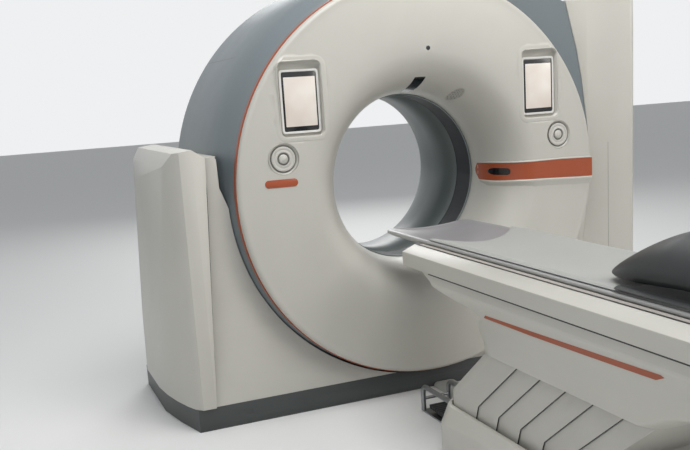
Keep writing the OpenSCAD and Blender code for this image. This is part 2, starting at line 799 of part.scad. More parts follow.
// Lifting arm: two side plates, a cross tube and its pins
module arm(i) {
    color(rust_c) translate([0, arm_pivots[i], pivot_z]) {
        both_sides() difference() {
            rotate([lean_turn, 0, 0]) across(175, 195) {
                circle(32);
                translate([0, -28]) square([arm_l, 56]);
                translate([arm_l, 0]) circle(32);
            }
            translate([0, -arm_back, arm_top - pivot_z]) rotate([0, 90, 0])
                cylinder(r = pin_r + 0.05, h = 600, center = true, $fn = 48);
        }
        both_sides() rotate([0, 90, 0]) translate([0, 0, 145]) cylinder(r = pin_r, h = 31, $fn = 48);
        rotate([lean_turn, 0, 0]) translate([-176, arm_l / 2, 0]) rotate([0, 90, 0])
            cylinder(r = 22, h = 352, $fn = 48);
    }
}
lean_turn = 180 - lean;
module front_arm() { arm(0); }
module rear_arm() { arm(1); }

// Side slat k, a leaning plate with a steeper foot, hinged low on the base
slat_lap = 18;
function slat_x(k) = skirt_half - 1 - k * (slat_t + 1);
function slat_edge(y, shift) = [[y - (slat_top - bend_z) * lean_y / lean_z, slat_top], [y, bend_z],
    [y + shift, pivot_z], [y + shift, pivot_z - 14]];
module slat(k) {
    back = k == 5 ? seam(6) : seam(k + 1) - slat_lap;
    color(white_c) {
        both_sides() {
            across(slat_x(k) - slat_t, slat_x(k)) polygon(concat(slat_edge(seam(k), k == 0 ? 0 : foot_shift),
                [for (i = [3:-1:0]) slat_edge(back, k == 5 ? 0 : foot_shift)[i]]));
            translate([inner_half - 18, slat_y(k), pivot_z]) rotate([0, 90, 0])
                cylinder(r = 6, h = slat_x(k) - slat_t - inner_half + 19, $fn = 48);
        }
        if (k == 0) end_wall(slat_x(0), seam(0), -wall);
        if (k == 5) end_wall(slat_x(5), seam(6), wall);
    }
}

// Wall across the end of the covers, which leans above the bend and stands upright below it
module end_wall(half, y, t) {
    across(-half, half) polygon(concat(slat_edge(y, 0), [for (i = [3:-1:0]) slat_edge(y + t, 0)[i]]));
}
module slat_1() { slat(0); }
module slat_2() { slat(1); }
module slat_3() { slat(2); }
module slat_4() { slat(3); }
module slat_5() { slat(4); }
module slat_6() { slat(5); }

// Welded frame of the beam with the upper pivots of the arms
frame_y = beam_end + 190;
frame_l = 1450;
frame_z = 648;
rail_z = 710;
module beam_frame() {
    color(steel_c) {
        difference() {
            translate([-150, frame_y, frame_z]) cube([300, frame_l, rail_z - frame_z]);
            translate([-142, frame_y + 8, frame_z + 8]) cube([284, frame_l - 16, rail_z - frame_z - 16]);
        }
        both_sides() for (y = arm_pivots) translate([0, y - arm_back, 0]) {
            across(150 - tiny, 174) polygon([[-60, frame_z + 20], [60, frame_z + 20], [34, arm_top - 12],
                [16, arm_top - 24], [-16, arm_top - 24], [-34, arm_top - 12]]);
            translate([150, 0, arm_top]) rotate([0, 90, 0]) cylinder(r = pin_r, h = 50, $fn = 48);
        }
        both_sides() translate([100, frame_y - 100, rail_z - tiny]) cube([40, frame_l + 420, 16 - gap]);
        both_sides() for (y = [beam_end + 300, beam_front - 520]) translate([140, y, 664])
            cube([beam_half - 12 - gap - 140, 40, 30]);
    }
}

// Long cover of the beam: a trough between sloping white shoulders
module beam_cover() {
    color(white_c) difference() {
        union() {
            both_sides() facing(beam_end, beam_front) polygon([[-beam_half, 708], [-beam_half, beam_top],
                [-inner_half, rail_top], [-inner_half, rail_top - 50], [-inner_half + wall, rail_top - 50],
                [-inner_half + wall, 708]]);
            facing(beam_end, beam_front) polygon([[-inner_half, 726], [inner_half, 726], [inner_half, 740],
                [-inner_half, 740]]);
            facing(beam_front - 12, beam_front) polygon([[-inner_half, 708], [inner_half, 708],
                [inner_half, 740], [-inner_half, 740]]);
        }
        both_sides() facing(beam_end + wall, beam_front - wall)
            polygon([[-beam_half + wall, 700], [-beam_half + wall, beam_top - wall],
                [-inner_half - wall, rail_top - 2 * wall], [-inner_half - wall, 700]]);
    }
}

// Side outline of the pedestal head, as [y, z], drawn in by d
head_front = -1230;
head_back = -2180;
function head_side(d) = [[beam_front - 130 - d, 706 + (d > 0 ? 1 : 0)], [-952 - d, 657 + 1.2 * d],
    [-1300 - 2 * d, 617 + d], [-1215 - 1.2 * d, 556], [head_front - d, crease_z - (d > 0 ? 1 : 0)],
    [head_back + d, crease_z - (d > 0 ? 1 : 0)], [-2312 + d, 533 + 1.2 * d],
    [beam_end + 160 + d, 610 + d], [beam_end + 60 + 1.4 * d, 706 + (d > 0 ? 1 : 0)]];
// Cross section of the pedestal head, as [x, z], for the right half
function head_half(d) = [[beam_half - 8 - d, 707], [beam_half - 8 - d, 672], [beam_half - 2 - d, 664],
    [beam_half - 2 - d, 614], [skirt_half + 12 - d, 520], [skirt_half + 4 - d, crease_z - 2]];
module head_section(d) {
    polygon(concat(head_half(d), [for (i = [5:-1:0]) [-head_half(d)[i][0], head_half(d)[i][1]]]));
}
stripe_slot = [[-1351, 616], [-1361, 645], [-2212, 645], [-2226, 630], [-2210, 615]];
module pedestal_cover() {
    color(white_c) difference() {
        intersection() {
            across(-beam_half, beam_half) polygon(head_side(0));
            facing(beam_end, beam_front) head_section(0);
        }
        intersection() {
            across(-beam_half, beam_half) polygon(head_side(wall));
            facing(beam_end, beam_front) head_section(4);
        }
        both_sides() across(-beam_half - 1, -beam_half + 4) polygon(stripe_slot);
        translate([-skirt_half, head_front - 120, crease_z - 8]) cube([2 * skirt_half, 160, 152]);
    }
}

module orange_stripe() {
    color(rust_c) both_sides() across(-beam_half + 1, -beam_half + 4)
        polygon([[-1355, 618], [-1363, 643], [-2208, 643], [-2220, 630], [-2208, 617]]);
}

module side_rails() {
    color("#b7b9b6") both_sides() translate([-inner_half, 0, 0]) facing(beam_end + 20, beam_front - 20)
        polygon([[0, rail_top - 49], [9, rail_top - 49], [9, rail_top - 8], [16, rail_top - 8],
            [16, rail_top - 2], [4, rail_top - 2], [4, rail_top], [0, rail_top]]);
}

// Height of the tabletop's shallow trough at x
trough_half = top_half - 20;
function trough(x) = top_z - 26 + 24 * pow(abs(x) / trough_half, 2);
trough_x = [for (i = [0:8]) (i - 4) * trough_half / 4];
module tabletop() {
    color("#c6c7c4") facing(top_tip - top_l, top_tip) polygon(concat(
        [[-top_half, top_z - 28], [-top_half - 6, top_z - 16], [-top_half, top_z]],
        [for (x = trough_x) [x, trough(x)]],
        [[top_half, top_z], [top_half + 6, top_z - 16], [top_half, top_z - 28], [120, top_z - 44],
            [-120, top_z - 44]]));
}

module carriage() {
    color(dark_c) difference() {
        translate([-130, top_tip - top_l + 40, 740 + gap]) cube([260, 500, top_z - 44 - 740 - gap]);
        translate([-100, top_tip - top_l + 60, 740]) cube([200, 460, 14]);
    }
}

// Mat that follows the trough and ends in a round cut-out
module mattress() {
    color("#cfcfc8") difference() {
        facing(top_tip - top_l + 40, -700) polygon(concat([[-top_half, top_z + gap]],
            [for (x = trough_x) [x, trough(x) + gap]], [[top_half, top_z + gap], [top_half, top_z + 8]],
            [for (i = [8:-1:0]) [trough_x[i], trough(trough_x[i]) + mat_t]], [[-top_half, top_z + 8]]));
        translate([-20, -560, 700]) cylinder(r = 280, h = 200);
    }
}

// Thermoformed shell that lies on the mattress
shell_half = 190;
shell_h = 150;
shell_t = 5;
shell_y = -1730;
shell_z = trough(trough_x[7]) + (trough(trough_half) - trough(trough_x[7]))
    * (shell_half - trough_x[7]) / (trough_half - trough_x[7]) + mat_t + gap;
shell_nose = [[60, 0], [112, -60], [158, -160], [shell_half, -290], [shell_half, -660]];
module leg_shell() {
    color(dark_c) translate([0, shell_y, shell_z]) intersection() {
        facing(-660, 0) difference() {
            polygon([for (i = [0:12]) [shell_half * cos(180 - i * 15), shell_h * sin(i * 15)]]);
            polygon([for (i = [0:12]) [(shell_half - shell_t) * cos(180 - i * 15),
                (shell_h - shell_t) * sin(i * 15) - (i % 12 == 0 ? 1 : 0)]]);
        }
        across(-200, 200) polygon([[0, -1], [-6, 40], [-120, 120], [-260, 160], [-660, 160], [-660, -1]]);
        translate([0, 0, -1]) linear_extrude(shell_h + 2) polygon(concat(shell_nose,
            [for (i = [4:-1:0]) [-shell_nose[i][0], shell_nose[i][1]]]));
    }
}

base_frame();
stator();
main_bearing();
drive_coils();
brush_block();
cooling_unit();
plinth();
front_cover();
rim_trim();
band_shell();
infill_panel();
lower_left_cover();
lower_right_cover();
left_side_cover();
right_tower();
rear_cover();
tunnel_liner();
scan_window();
orange_band();
status_window();
laser_windows();
speaker_grille();
left_tablet();
right_tablet();
tablet_screens();
left_dish();
right_dish();
left_pad();
right_pad();
left_button();
right_button();
rotor_drum();
xray_tube();
heat_exchanger();
generator();
detector_arc();
collimator();
slip_ring();
table_base();
base_cover();
floor_duct();
foot_guard();
foot_pedal();
front_arm();
rear_arm();
slat_1();
slat_2();
slat_3();
slat_4();
slat_5();
slat_6();
beam_frame();
beam_cover();
pedestal_cover();
orange_stripe();
side_rails();
tabletop();
carriage();
mattress();
leg_shell();
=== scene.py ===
# %% [markdown]
# # A computed tomography scanner
# The machine is a ring of moulded covers around a patient bore, with a lifting table in front of it.
# The solids come from the CAD frame. This script gives each surface its finish, adds the pieces that
# are soft or too finely curved for the solids, and lights them.

# %% Loading the frame
import json
import math

import bmesh
import bpy
import numpy as np
from mathutils import Matrix, Vector
from mathutils.bvhtree import BVHTree


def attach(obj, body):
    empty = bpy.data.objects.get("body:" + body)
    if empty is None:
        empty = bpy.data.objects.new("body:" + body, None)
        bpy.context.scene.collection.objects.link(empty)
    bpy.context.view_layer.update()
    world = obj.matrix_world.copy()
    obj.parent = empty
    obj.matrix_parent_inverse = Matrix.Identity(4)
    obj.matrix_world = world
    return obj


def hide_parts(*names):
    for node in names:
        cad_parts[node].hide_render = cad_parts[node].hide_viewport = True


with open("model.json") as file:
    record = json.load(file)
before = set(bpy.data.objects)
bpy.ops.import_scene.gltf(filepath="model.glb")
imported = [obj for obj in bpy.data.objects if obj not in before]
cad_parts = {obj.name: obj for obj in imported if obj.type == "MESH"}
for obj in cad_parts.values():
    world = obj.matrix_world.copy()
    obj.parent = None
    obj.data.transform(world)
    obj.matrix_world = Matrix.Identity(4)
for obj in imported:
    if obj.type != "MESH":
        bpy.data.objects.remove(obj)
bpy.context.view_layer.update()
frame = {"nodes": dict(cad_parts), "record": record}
nodes = frame["nodes"]

# %% [markdown]
# ## Camera
# The photograph was taken standing at the foot end, left of the table, with the camera tipped down
# and turned a little. Its place was worked out from the gantry's circles, so the lens, the tilt
# and the shift are real measures, and they are written as such.

# %% Camera
CAMERA_PLACE = Vector((-1.8738, -3.9859, 1.4259))
CAMERA_AZIMUTH = math.radians(21.60)
CAMERA_TILT = math.radians(-11.285)
CAMERA_ROLL = math.radians(-3.675)
FOCAL_PIXELS = 883.3
PHOTO_WIDTH = 690
CENTRE_DROP = 44.6


def look_axes(azimuth, tilt, roll):
    """Right, up and backward axes of a camera that looks along azimuth (from +Y to +X) and tilt."""
    ahead = Vector((math.sin(azimuth) * math.cos(tilt), math.cos(azimuth) * math.cos(tilt), math.sin(tilt)))
    level = ahead.cross(Vector((0, 0, 1))).normalized()
    upright = level.cross(ahead)
    right = level * math.cos(roll) + upright * math.sin(roll)
    return right, right.cross(ahead), -ahead


lens = bpy.data.cameras.new("lens")
lens.sensor_fit = "HORIZONTAL"
lens.sensor_width = 36
lens.lens = FOCAL_PIXELS / PHOTO_WIDTH * lens.sensor_width
lens.shift_y = CENTRE_DROP / PHOTO_WIDTH
camera = bpy.data.objects.new("camera", lens)
camera.matrix_world = Matrix.Translation(CAMERA_PLACE) @ Matrix(
    look_axes(CAMERA_AZIMUTH, CAMERA_TILT, CAMERA_ROLL)).transposed().to_4x4()
bpy.context.scene.collection.objects.link(camera)
bpy.context.scene.camera = camera
bpy.context.scene.view_settings.view_transform = "Standard"
print("lens", round(lens.lens, 2), "mm, shift", round(lens.shift_y, 4))

# %% [markdown]
# ## Shader sums
# A finish is mostly sums on a few patterns. Wrapping a socket in a small class lets those sums be
# written as Python, so `0.4 + 0.1 * grain` adds its Math nodes by itself. Colours are mixed in one
# method, because a Math node would turn them grey.


# %% Shader sums
class Term:
    """A number or colour inside a finish, which can be added, multiplied and mixed."""

    def __init__(self, finish, socket):
        self.finish = finish
        self.socket = socket

    def sum(self, operation, *others):
        return self.finish.node("ShaderNodeMath", {"operation": operation}, dict(enumerate((self, *others))))

    def __add__(self, other):
        return self.sum("ADD", other)

    def __mul__(self, other):
        return self.sum("MULTIPLY", other)

    def __sub__(self, other):
        return self.sum("SUBTRACT", other)

    __radd__ = __add__
    __rmul__ = __mul__


class Finish:
    """One material: a Principled shader and the patterns that feed it."""

    def __init__(self, name):
        self.material = bpy.data.materials.new(name)
        self.material.use_nodes = True
        self.tree = self.material.node_tree
        self.tree.nodes.clear()
        self.out = self.tree.nodes.new("ShaderNodeOutputMaterial")
        self.shader = self.tree.nodes.new("ShaderNodeBsdfPrincipled")
        self.tree.links.new(self.shader.outputs[0], self.out.inputs["Surface"])

    def feed(self, socket, value):
        """Puts a number, a colour or another term's socket into a socket."""
        if isinstance(value, Term):
            self.tree.links.new(value.socket, socket)
        elif hasattr(value, "__len__") and len(value) == 3 and socket.type == "RGBA":
            socket.default_value = (*value, 1)
        else:
            socket.default_value = value

    def node(self, kind, settings=None, inputs=None, output=0):
        """Any node: its settings first, then the values or links of its sockets."""
        made = self.tree.nodes.new(kind)
        for key, value in (settings or {}).items():
            if key == "stops":
                set_stops(made.color_ramp, value)
            else:
                setattr(made, key, value)
        for key, value in (inputs or {}).items():
            self.feed(made.inputs[key], value)
        return Term(self, made.outputs[output])

    def place(self, stretch=(1, 1, 1)):
        """Object coordinates in metres, stretched along each axis."""
        spot = self.node("ShaderNodeTexCoord", output="Object")
        return self.node("ShaderNodeMapping", {}, {"Vector": spot, "Scale": stretch})

    def noise(self, scale, detail=3.0, stretch=(1, 1, 1)):
        """Cloudy noise from 0 to 1 with its main lumps 1 / scale metres apart."""
        return self.node("ShaderNodeTexNoise", {}, {"Vector": self.place(stretch), "Scale": scale,
                                                    "Detail": detail})

    def bands(self, way, scale):
        """Parallel soft bands across one axis, from 0 to 1."""
        return self.node("ShaderNodeTexWave", {"bands_direction": way},
                         {"Vector": self.place(), "Scale": scale}, output=1)

    def ramp(self, term, *stops):
        """A term sent through stops of (position, grey or colour)."""
        return self.node("ShaderNodeValToRGB", {"stops": stops}, {"Fac": term})

    def mix(self, share, first, second):
        """A blend of two colours."""
        return self.node("ShaderNodeMix", {"data_type": "RGBA"}, {0: share, 6: first, 7: second}, output=2)

    def bump(self, height, distance):
        """A surface normal raised by height times distance, in metres."""
        raised = self.node("ShaderNodeBump", {}, {"Height": height, "Distance": distance, "Strength": 1.0})
        self.feed(self.shader.inputs["Normal"], raised)

    def set(self, **values):
        """Values or patterns for the shader's sockets, under their short names."""
        for key, value in values.items():
            self.feed(self.shader.inputs[SOCKETS[key]], value)
        return self.material


SOCKETS = {"colour": "Base Color", "roughness": "Roughness", "metallic": "Metallic", "coat": "Coat Weight",
           "coat_roughness": "Coat Roughness", "sheen": "Sheen Weight"}


def set_stops(ramp, stops):
    """Fills a colour ramp from (position, grey or colour) pairs."""
    while len(ramp.elements) < len(stops):
        ramp.elements.new(0.5)
    for element, (position, shade) in zip(ramp.elements, stops):
        element.position = position
        element.color = (*shade, 1) if hasattr(shade, "__len__") else (shade, shade, shade, 1)


# %% [markdown]
# ## Moulded covers
# The covers are large painted mouldings: an even satin colour that drifts a little, with fine orange peel
# in the lacquer. Every finish is kept under its name in one dictionary.

# %% Moulded covers
CLOUD_STOPS = ((0.35, 0.0), (0.65, 1.0))


def lighter(colour, factor):
    """A colour made lighter or darker by a factor."""
    return tuple(min(1.0, c * factor) for c in colour)


def moulded(name, colour, rough=0.38, coat=0.15):
    """Painted plastic: a tone that drifts by a few per cent, an orange-peel bump and a thin coat."""
    drift, peel = 0.04, 0.00012
    f = Finish(name)
    cloud = f.noise(1.3, 4)
    grime = f.noise(9, 6)
    tone = f.mix(f.ramp(cloud, *CLOUD_STOPS), lighter(colour, 1 - drift), lighter(colour, 1 + drift))
    f.bump(f.noise(900, 2) * 0.6 + f.noise(60, 2) * 0.4, peel)
    return f.set(colour=tone, roughness=rough + 0.10 * grime - 0.05, coat=coat, coat_roughness=0.25)


WARM_WHITE = (0.56, 0.545, 0.495)
COVERS = {
    "white_cover": (WARM_WHITE,),
    "slat_white": (lighter(WARM_WHITE, 0.95), 0.42),
    "bezel_white": ((0.80, 0.79, 0.76), 0.3),
    "pad_white": ((0.58, 0.565, 0.52), 0.38),
    "blue_grey_cover": ((0.175, 0.205, 0.22), 0.5, 0.05),
    "tunnel_grey": ((0.185, 0.215, 0.215), 0.42),
    "plinth_grey": ((0.050, 0.056, 0.056), 0.5),
    "rust_trim": ((0.34, 0.075, 0.026), 0.34),
    "rust_paint": ((0.37, 0.075, 0.024), 0.36),
}
looks = {name: moulded(name, *row) for name, row in COVERS.items()}
print(len(looks), "moulded finishes")

# %% [markdown]
# ## Grilles, seals and trims
# The small parts are moulded too, each in its own grey. Most of them only show as a thin line, so their
# tone is set by what it has to stand out from: a seam is dark on a pale cover, and a rim pale on a dark one.

# %% Grilles, seals and trims
SMALL_PARTS = {
    "grille_grey": ((0.47, 0.455, 0.41), 0.5),
    "dish_grey": ((0.47, 0.455, 0.41), 0.28),
    "groove_grey": ((0.16, 0.155, 0.14), 0.5),
    "duct_grey": ((0.50, 0.50, 0.47), 0.5),
    "shell_grey": ((0.012, 0.014, 0.015), 0.42, 0.0),
    "rim_grey": ((0.42, 0.43, 0.42), 0.3),
    "top_grey": ((0.31, 0.30, 0.31), 0.33),
    # The beads belong to the carbon top, and this paler grey paints the highlight along them.
    "bead_highlight_grey": ((0.40, 0.40, 0.39), 0.4),
    "cap_grey": ((0.44, 0.41, 0.37), 0.4),
    "seam_grey": ((0.20, 0.20, 0.20), 0.6),
    # Real black plastic, and also the black strips that paint shade under the tabletop's edge, under the beam
    # and beside the towers.
    "black_plastic_and_shade": ((0.012, 0.013, 0.014), 0.4),
    "dark_steel": ((0.045, 0.050, 0.053), 0.5),
    "blue_steel": ((0.13, 0.18, 0.22), 0.45),
}
looks.update({name: moulded(name, *row) for name, row in SMALL_PARTS.items()})
print(len(looks), "with the small parts")

# %% [markdown]
# ## Glass and metals
# The windows are dark plastic, glossy except for the scan window, which is matt so that it doesn't mirror the
# tunnel. Machined metal shows fine lines along one way, which noise stretched along that way gives.

# %% Glass and metals
def dark_window(name, colour, rough, coat):
    """A dark plastic window with faint smears."""
    f = Finish(name)
    smear = f.noise(14, 5, (1, 1, 3))
    return f.set(colour=colour, roughness=rough + 0.12 * smear, coat=coat, coat_roughness=0.08)


looks["scan_ring"] = dark_window("scan_ring", (0.004, 0.008, 0.012), 0.6, 0.08)
looks["dark_glass"] = dark_window("dark_glass", (0.008, 0.009, 0.011), 0.12, 0.5)


def metal(name, colour, rough=0.35, stretch=(1, 40, 1)):
    """Metal with fine tool lines along one way, or with an even grain where nothing is stretched."""
    f = Finish(name)
    lines = f.noise(60, 4, stretch)
    tone = f.mix(lines, lighter(colour, 0.88), lighter(colour, 1.1))
    f.bump(lines, 0.00015)
    return f.set(colour=tone, roughness=rough + 0.15 * lines - 0.07, metallic=1.0)


METALS = {
    "bare_steel": ((0.50, 0.52, 0.54),),
    "cast_metal": ((0.42, 0.44, 0.46), 0.5, (1, 1, 1)),
    "fins_metal": ((0.48, 0.50, 0.52), 0.4),
    "rail_alloy": ((0.62, 0.63, 0.62), 0.32),
    "copper": ((0.55, 0.27, 0.12), 0.4),
    "brass": ((0.62, 0.46, 0.20), 0.3),
    "tube_steel": ((0.30, 0.31, 0.32), 0.35, (1, 1, 1)),
}
looks.update({name: metal(name, *row) for name, row in METALS.items()})
print(len(looks), "with the metals")

# %% [markdown]
# ## Screens and rubber
# The two tablets show a pale picture that can't be read, so a plain pale field that drifts a little from
# warm to cool stands in for it. The weave of the mat's cloth and the ribs of the pedal's rubber are bumps.

# %% Screens and rubber
def pale_screen(name):
    """A pale screen under glass, whose tone drifts from warm to cool across its face."""
    f = Finish(name)
    cloud = f.noise(7, 2)
    tone = f.mix(f.ramp(cloud, *CLOUD_STOPS), (0.84, 0.74, 0.66), (0.92, 0.88, 0.82))
    return f.set(colour=tone, roughness=0.2, coat=0.6, coat_roughness=0.05)


looks["screen"] = pale_screen("screen")


def ribbed_rubber(name):
    """Black rubber with fine ribs across its tread."""
    f = Finish(name)
    ribs = f.bands("Y", 16.0)
    f.bump(ribs, 0.002)
    return f.set(colour=(0.018, 0.018, 0.020), roughness=0.65 + 0.1 * f.noise(200, 2))


looks["black_rubber"] = ribbed_rubber("black_rubber")


def wiped_fabric(name):
    """Coated cloth: a fine woven bump under a wipe-clean skin."""
    f = Finish(name)
    weave = f.bands("X", 180.0) + f.bands("Y", 180.0)
    folds = f.noise(6, 4)
    tone = f.mix(folds, (0.36, 0.365, 0.345), (0.41, 0.415, 0.39))
    f.bump(weave * 0.25 + folds, 0.0006)
    return f.set(colour=tone, roughness=0.55 + 0.1 * folds, sheen=0.15)


looks["pad_fabric"] = wiped_fabric("pad_fabric")
print(len(looks), "finishes")

# %% [markdown]
# ## Finishes of the CAD nodes
# The record gives each node a slot name. A slot gets the finish of the same name, and a short table has the
# few that differ, so a node that is shown as it is and a finer piece that stands for it look alike.

# %% Finishes of the CAD nodes
OTHER_SLOTS = {"tablet_frame": "bezel_white", "dark_plastic": "black_plastic_and_shade", "brass_tracks": "brass",
               "fins": "fins_metal", "carbon_top": "top_grey", "grey_shell": "shell_grey"}


def look_of(name):
    """The finish with this name, or the one that the table gives a slot of this name."""
    return looks[OTHER_SLOTS.get(name, name)]


for part in frame["record"]["subparts"]:
    for held in nodes[part["node"]].material_slots:
        held.material = look_of(part["material_slot"])
print(len(looks), "finishes for", len(nodes), "nodes")

# %% [markdown]
# ## Rounded copies of the solids
# Every cover of such a machine is moulded or pressed, so no edge of it is sharp. The solids keep sharp
# edges, because exact solids are simpler that way. A copy of the same skin gets a small round on
# its edges, and the flats stay flat, because the bevel hardens their normals. Skins that are turned about
# the bore only need smooth shading.

# %% Rounded copies of the solids
BODIES = frame["record"]["behaviour"]["bodies"]
BODY_OF = {node: body for body, held in BODIES.items() for node in held}
SLOT_OF = {part["node"]: part["material_slot"] for part in frame["record"]["subparts"]}


def finished(name, mesh, look, body="machine", slot=None):
    """A mesh made into a piece with a finish and a body. The slot is not used."""
    piece = bpy.data.objects.new(name, mesh)
    bpy.context.scene.collection.objects.link(piece)
    mesh.materials.clear()
    mesh.materials.append(look_of(look))
    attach(piece, body)
    return piece


def replaced(name, mesh, node):
    """A mesh that stands for a CAD node, with the finish of the node's slot and the node's body."""
    piece = finished(name, mesh, SLOT_OF[node], BODY_OF[node])
    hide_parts(node)
    return piece


def copied(node, flats):
    """The node's mesh with joined corners; flats dissolves its flat triangles into whole faces."""
    work = bmesh.new()
    work.from_mesh(nodes[node].data)
    bmesh.ops.remove_doubles(work, verts=work.verts, dist=2e-5)
    if flats:
        bmesh.ops.dissolve_limit(work, angle_limit=math.radians(0.6), verts=work.verts, edges=work.edges)
    bmesh.ops.recalc_face_normals(work, faces=work.faces)
    mesh = bpy.data.meshes.new(node + "_skin")
    work.to_mesh(mesh)
    work.free()
    return mesh


def rounded(node, width):
    """The node with a round of the given width, in metres, on each edge sharper than 28 degrees."""
    mesh = copied(node, True)
    mesh.shade_smooth()
    piece = replaced(node + "_rounded", mesh, node)
    bevel = piece.modifiers.new("round", "BEVEL")
    bevel.width = width
    bevel.segments = 3
    bevel.limit_method = "ANGLE"
    bevel.angle_limit = math.radians(28)
    bevel.harden_normals = True
    bevel.use_clamp_overlap = True


def smoothed(node, angle):
    """The node with smooth shading across edges blunter than angle."""
    mesh = copied(node, False)
    mesh.shade_smooth()
    mesh.set_sharp_from_angle(angle=math.radians(angle))
    replaced(node + "_smooth", mesh, node)


ROUNDS = {"left_side_cover": 0.012, "right_tower": 0.012, "beam_cover": 0.006, "plinth": 0.003,
          "lower_left_cover": 0.0018, "lower_right_cover": 0.0018, "left_tablet": 0.0007,
          "right_tablet": 0.0007, "foot_pedal": 0.003, "carriage": 0.004, "front_arm": 0.003,
          "rear_arm": 0.003, "side_rails": 0.0012}
ROUNDS.update({f"slat_{k}": 0.0009 for k in range(2, 6)})
ROUNDS["slat_6"] = 0.0015
for node, width in ROUNDS.items():
    rounded(node, width)
for node in ("front_cover", "band_shell", "tunnel_liner", "rear_cover", "rim_trim", "scan_window",
             "status_window", "laser_windows", "infill_panel"):
    smoothed(node, 50 if node == "tunnel_liner" else 32)

# %% [markdown]
# ## Skins from sums
# The finer pieces are skins through a grid of points. A row of the grid is a ring round the piece, and
# the next row is the next ring along it. The first and last ring are closed with a flat face, so
# each piece is a whole solid skin.

# %% Skins from sums
TURN_STEPS = 96


def skin(grid, loop=False, angle=35):
    """A closed skin through grid[i, j], point j of ring i, in millimetres.

    The face at i, j has the corners (i, j), (i, j + 1), (i + 1, j + 1), (i + 1, j). Rings close on
    themselves, and the first and last are capped, or joined to each other when loop is true.
    """
    grid = np.asarray(grid, float) / 1000
    rings, points = grid.shape[:2]
    index = np.arange(rings * points).reshape(rings, points)
    here = index if loop else index[:-1]
    there = np.roll(index, -1, 0) if loop else index[1:]
    quads = np.stack([here, np.roll(here, -1, 1), np.roll(there, -1, 1), there], -1).reshape(-1, 4)
    faces = [tuple(map(int, q)) for q in quads]
    if not loop:
        faces += [tuple(map(int, index[0][::-1])), tuple(map(int, index[-1]))]
    mesh = bpy.data.meshes.new("skin")
    mesh.from_pydata(grid.reshape(-1, 3).tolist(), [], faces)
    work = bmesh.new()
    work.from_mesh(mesh)
    bmesh.ops.remove_doubles(work, verts=work.verts, dist=1e-6)
    bmesh.ops.recalc_face_normals(work, faces=work.faces)
    work.to_mesh(mesh)
    work.free()
    mesh.shade_smooth()
    mesh.set_sharp_from_angle(angle=math.radians(angle))
    return mesh


def merged(meshes):
    """Several skins made into one mesh."""
    work = bmesh.new()
    for mesh in meshes:
        work.from_mesh(mesh)
    work.to_mesh(meshes[0])
    work.free()
    meshes[0].set_sharp_from_angle(angle=math.radians(35))
    return meshes[0]


def swept(path, profile, up=(0, 0, 1)):
    """Rings path + a * side + b * top for the (a, b) pairs of a profile, square to the path."""
    path = np.asarray(path, float)
    along = np.gradient(path, axis=0)
    along /= np.linalg.norm(along, axis=1)[:, None]
    side = np.cross(along, np.asarray(up, float))
    side /= np.linalg.norm(side, axis=1)[:, None]
    top = np.cross(side, along)
    profile = np.asarray(profile, float)
    return path[:, None] + side[:, None] * profile[None, :, :1] + top[:, None] * profile[None, :, 1:]


def turned(profile, place):
    """Rings of a closed profile of (radius, depth) pairs turned about an axis along Y through place."""
    turn = np.linspace(0, 2 * math.pi, TURN_STEPS, endpoint=False)
    radius, depth = np.asarray(profile, float).T
    x = place[0] + np.cos(turn)[:, None] * radius
    z = place[2] + np.sin(turn)[:, None] * radius
    return np.stack([x, np.broadcast_to(place[1] + depth, x.shape), z], -1)


def oval(width, height, power=2.0, steps=24):
    """A closed curve |x / a|^p + |y / b|^p = 1 as (x, y) pairs."""
    turn = np.linspace(0, 2 * math.pi, steps, endpoint=False)
    c, v = np.cos(turn), np.sin(turn)
    return np.stack([np.sign(c) * np.abs(c) ** (2 / power) * width / 2,
                     np.sign(v) * np.abs(v) ** (2 / power) * height / 2], -1)


# %% [markdown]
# ## Front of the disc
# The disc is turned about the bore: a quarter ellipse leads from the tunnel to the flat face, which leans
# back a little towards its rim. Small pieces on it need its depth at a radius, so the same curve
# is written here once.

# %% Front of the disc
BORE_Z = 1010.0
FACE_R, FACE_Y, THROAT_R, THROAT_Y = 575.0, -397.0, 396.3, -78.0
LEAN_R = (575, 640, 720, 800, 860, 884)
LEAN_Y = (-397, -397, -393, -386, -378, -376)


def front_y(radius):
    """Depth of the front skin at a radius: a quarter ellipse, then a slightly leaning face."""
    radius = np.asarray(radius, float)
    t = np.arccos(np.clip((FACE_R - radius) / (FACE_R - THROAT_R), 0, 1))
    inner = FACE_Y + (THROAT_Y - FACE_Y) * (1 - np.sin(t))
    return np.where(radius < FACE_R, inner, np.interp(radius, LEAN_R, LEAN_Y))


def on_front(x, z, lift):
    """Points (x, front_y(r) - lift, z), where r is the distance of (x, z) from the bore's axis."""
    x, z = np.broadcast_arrays(np.asarray(x, float), np.asarray(z, float))
    return np.stack([x, front_y(np.hypot(x, z - BORE_Z)) - lift, z], -1)


print("depth of the throat", THROAT_Y - FACE_Y, "mm")

# %% [markdown]
# ## Orange stripe
# A painted stripe crosses the right half of the disc, between a thin bead and a moulded ledge. A blank
# label with round ends sits on the left half. All of them follow the disc's curve, so each is a skin
# lifted from that curve by a millimetre or two, and not a flat plate.

# %% Ledge and bead
STRIPE_X = (397, 416, 494, 584, 702, 800, 890, 904)
STRIPE_LOW = (963, 961, 967, 966, 960, 954, 950, 949)
STRIPE_HIGH = (1044, 1045, 1047, 1048, 1047, 1043, 1039, 1038)
LEDGE = [(-3, -2), (4, -1.5), (8.5, -2.5), (11, -5.5), (11.2, -9.5), (8.5, -15), (4, -24), (-0.6, -38),
         (-3, -38)]
BEAD = [(-2, 0), (2, 0.2), (3.4, 2.2), (3.2, 4.6), (1, 7), (-2, 8)]
LEDGE_STEPS = 90

